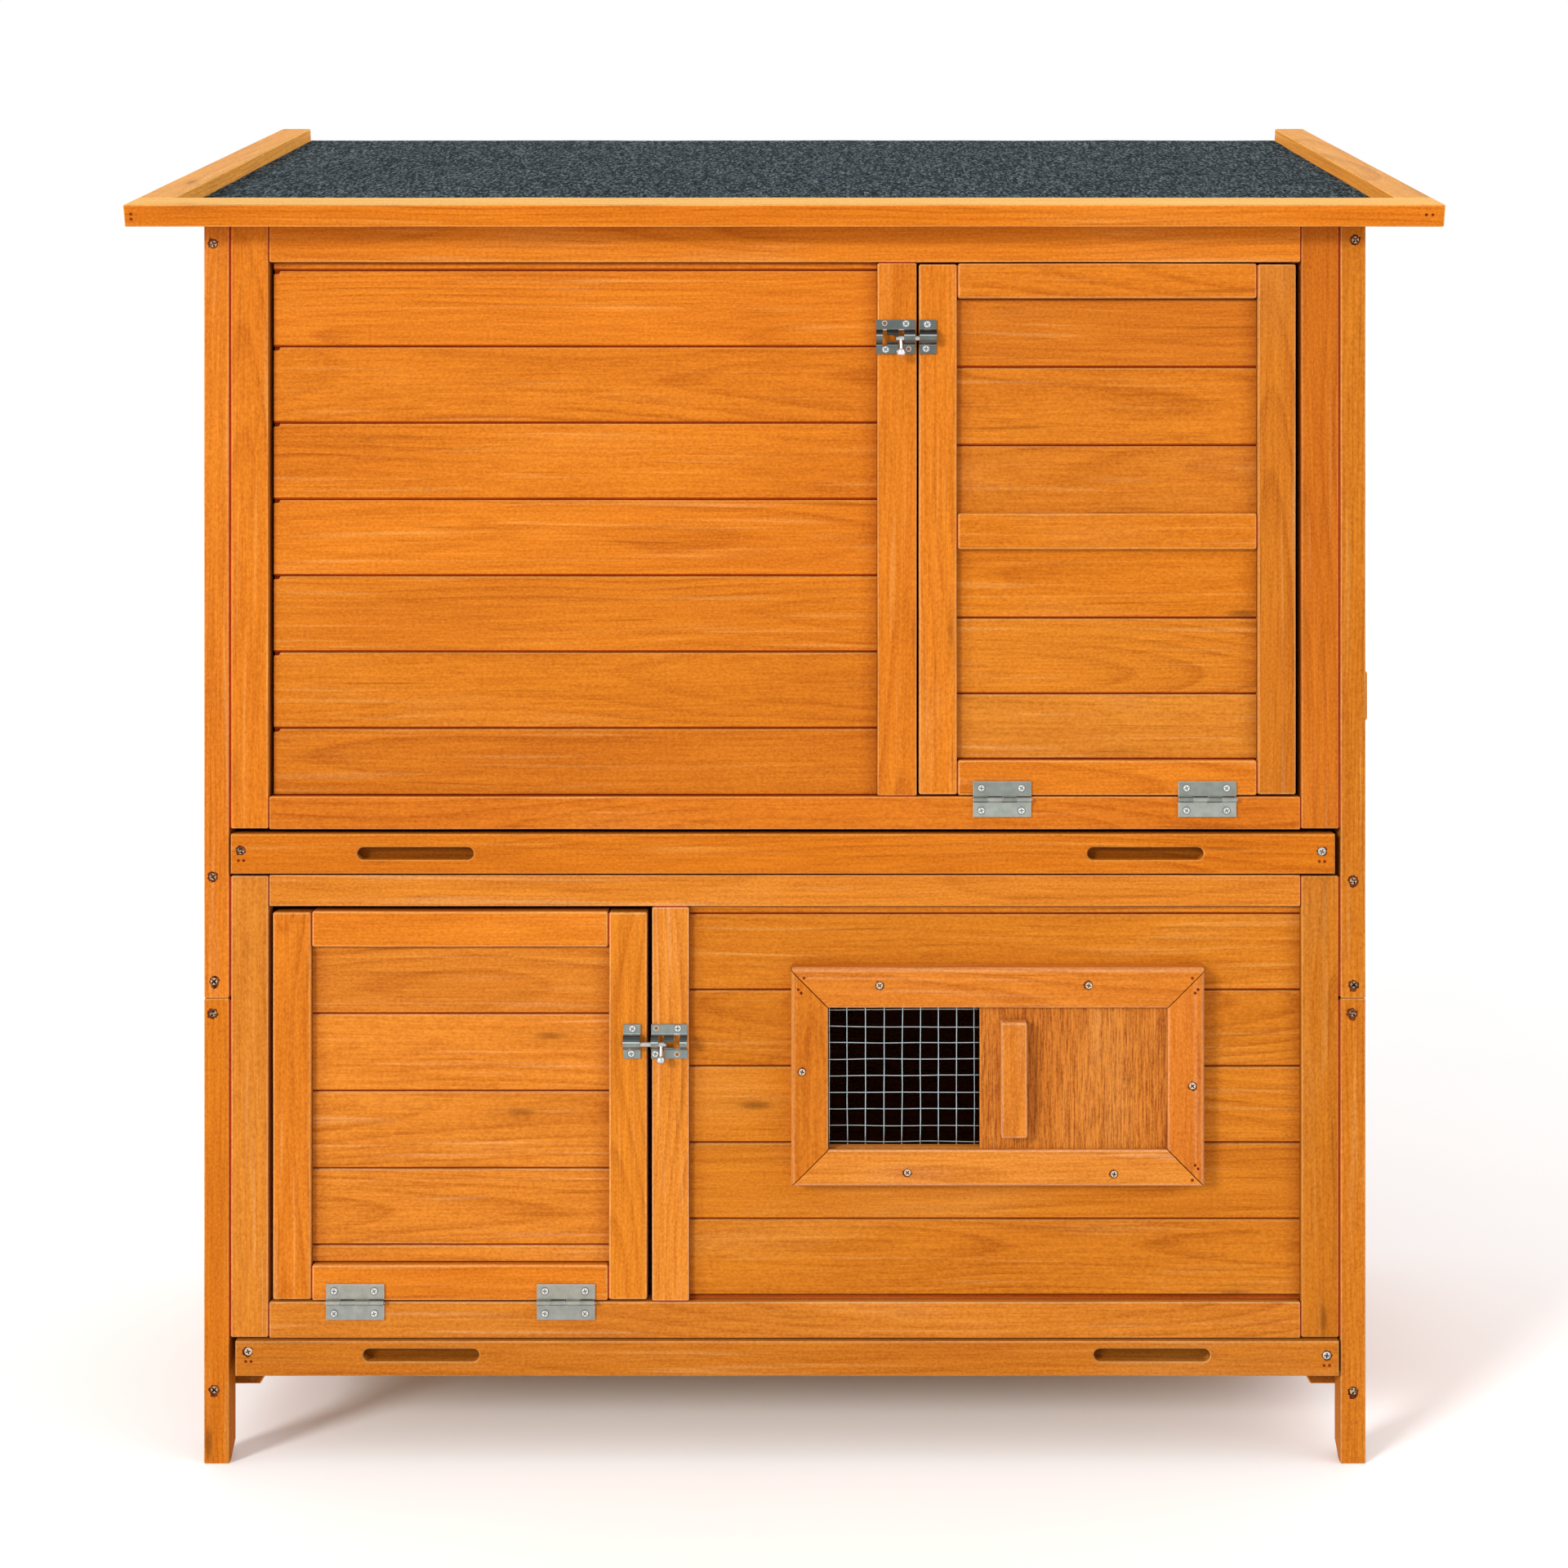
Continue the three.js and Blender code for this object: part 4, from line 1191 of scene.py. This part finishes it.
# the side battens are paled as painted light, most on top, and their inner sides are lightened as
# painted light
for side, x, pale, inner_side_light in (("left", (fx[0] + 0.2, -EDGE), 0.30, (1.5, 1.6, 1.3)),
                             ("right", (EDGE, fx[1] - 0.2), 0.2, (1.25, 1.3, 0.95))):
    batten = plank(x, ALONG, (-THICK, 0), "y", pale=pale, top=0.47 - pale, tone=(1.02, 1.04, 1.0))
    tint_side(batten, 1 if side == "left" else -1, inner_side_light)
    roof_piece(f"roof_{side}_batten", [batten], STAIN, [f"roof_{side}_trim"])
deck = plank((-EDGE + FIT, EDGE - FIT), ALONG, (-THICK, -11.7), "x", arris=0, wander=0)
roof_piece("roof_board", [deck], BARE_PLY, ["roof_deck"])

COLUMNS, ROWS = 110, 54
felt = bmesh.new()
grid = []
for r in range(ROWS + 1):
    line = []
    for c in range(COLUMNS + 1):
        u = (-EDGE + FIT) + (2 * EDGE - 2 * FIT) * c / COLUMNS
        v = ALONG[0] + (LENGTH - ALONG[0]) * r / ROWS
        rise = (0.32 * noise.noise(Vector((u * 0.012, v * 0.017, 3)))
                + 0.1 * noise.noise(Vector((u * 0.05, v * 0.05, 8))))
        line.append(felt.verts.new((u, v, -10.5 + rise)))
    grid.append(line)
for near, far in zip(grid, grid[1:]):
    for c in range(COLUMNS):
        felt.faces.new((near[c], near[c + 1], far[c + 1], far[c]))
bmesh.ops.solidify(felt, geom=felt.faces[:], thickness=1.0)
roof_piece("roof_covering", [felt], FELT, ["roof_felt"])

pins = [brad(bx, 0, up) for bx, up in ((-455, -6.5), (-455, -10), (447, -7), (451.4, -7))]
roof_piece("roof_brads", pins, STAIN)

# two butt hinges under the roof's rear overhang
AXIS = (208.0, 983.2)
HINGE_WIDTH = 41
QUARTER = HINGE_WIDTH / 4
for end, at in (("left", -250.0), ("right", 250.0)):
    x = (at - HINGE_WIDTH / 2, at + HINGE_WIDTH / 2)
    parts = leaf(x, (205.1, 206.4), (AXIS[1] - 13, AXIS[1]), (1, 3), AXIS)
    piece(f"roof_{end}_hinge_lower_leaf", "cabinet", [metal(p) for p in parts], ZINC)
    flap = [round_arrises(block(x, (AXIS[0] + 2.6, AXIS[0] + 13.5), (0, 1.1)), 0.3, 1)]
    for v in flap[0].verts:
        v.co.z += 870.7 + (v.co.y + 223) * TAN - 1.5
    for n in (0, 2):
        part = (x[0] + QUARTER * n, x[0] + QUARTER * (n + 1))
        flap.append(knuckle(part, *AXIS))
        flap.append(block((part[0] + HINGE_GAP, part[1] - HINGE_GAP), (AXIS[0], AXIS[0] + 3),
                          (AXIS[1] + 1.2, AXIS[1] + 2.2)))
    piece(f"roof_{end}_hinge_upper_leaf", "lid", [metal(p) for p in flap], ZINC)

# ---- stage, light and camera ----

bpy.ops.mesh.primitive_plane_add(size=60, location=(0, 0, 0))
floor = bpy.context.object
floor.name = "floor"
paper = Shader("pale_floor")
cloud = paper.noise(paper.node("TexCoord").outputs["Object"], (3, 3, 3))
paper.set("Base Color", paper.ramp(cloud, [(0.3, 0.95), (0.7, 0.97)]))
paper.set("Roughness", 0.9)
paper.set("Specular IOR Level", 0.1)
floor.data.materials.append(paper.material)

world = bpy.data.worlds.new("studio")
bpy.context.scene.world = world
world.use_nodes = True
world.node_tree.nodes["Background"].inputs[0].default_value = (1, 1, 1, 1)
world.node_tree.nodes["Background"].inputs[1].default_value = 1.0


def sun(name, toward, strength, angle):
    data = bpy.data.lights.new(name, "SUN")
    data.energy, data.angle = strength, math.radians(angle)
    made = bpy.data.objects.new(name, data)
    made.rotation_mode = "QUATERNION"
    made.rotation_quaternion = Vector(toward).to_track_quat("Z", "Y")
    bpy.context.scene.collection.objects.link(made)


sun("key", (-0.95, -1.0, 0.55), 2.35, 14)
sun("fill", (1.0, -0.25, 0.5), 0.6, 50)

camera = bpy.data.cameras.new("camera")
camera.lens, camera.sensor_width = 50.156, 36
camera.shift_x, camera.shift_y = -0.024, -0.208
eye = bpy.data.objects.new("camera", camera)
eye.location = (0.026, -1.746, 0.7097)
eye.rotation_euler = (math.radians(90), 0, 0)
bpy.context.scene.collection.objects.link(eye)
bpy.context.scene.camera = eye
bpy.context.scene.view_settings.view_transform = "Standard"
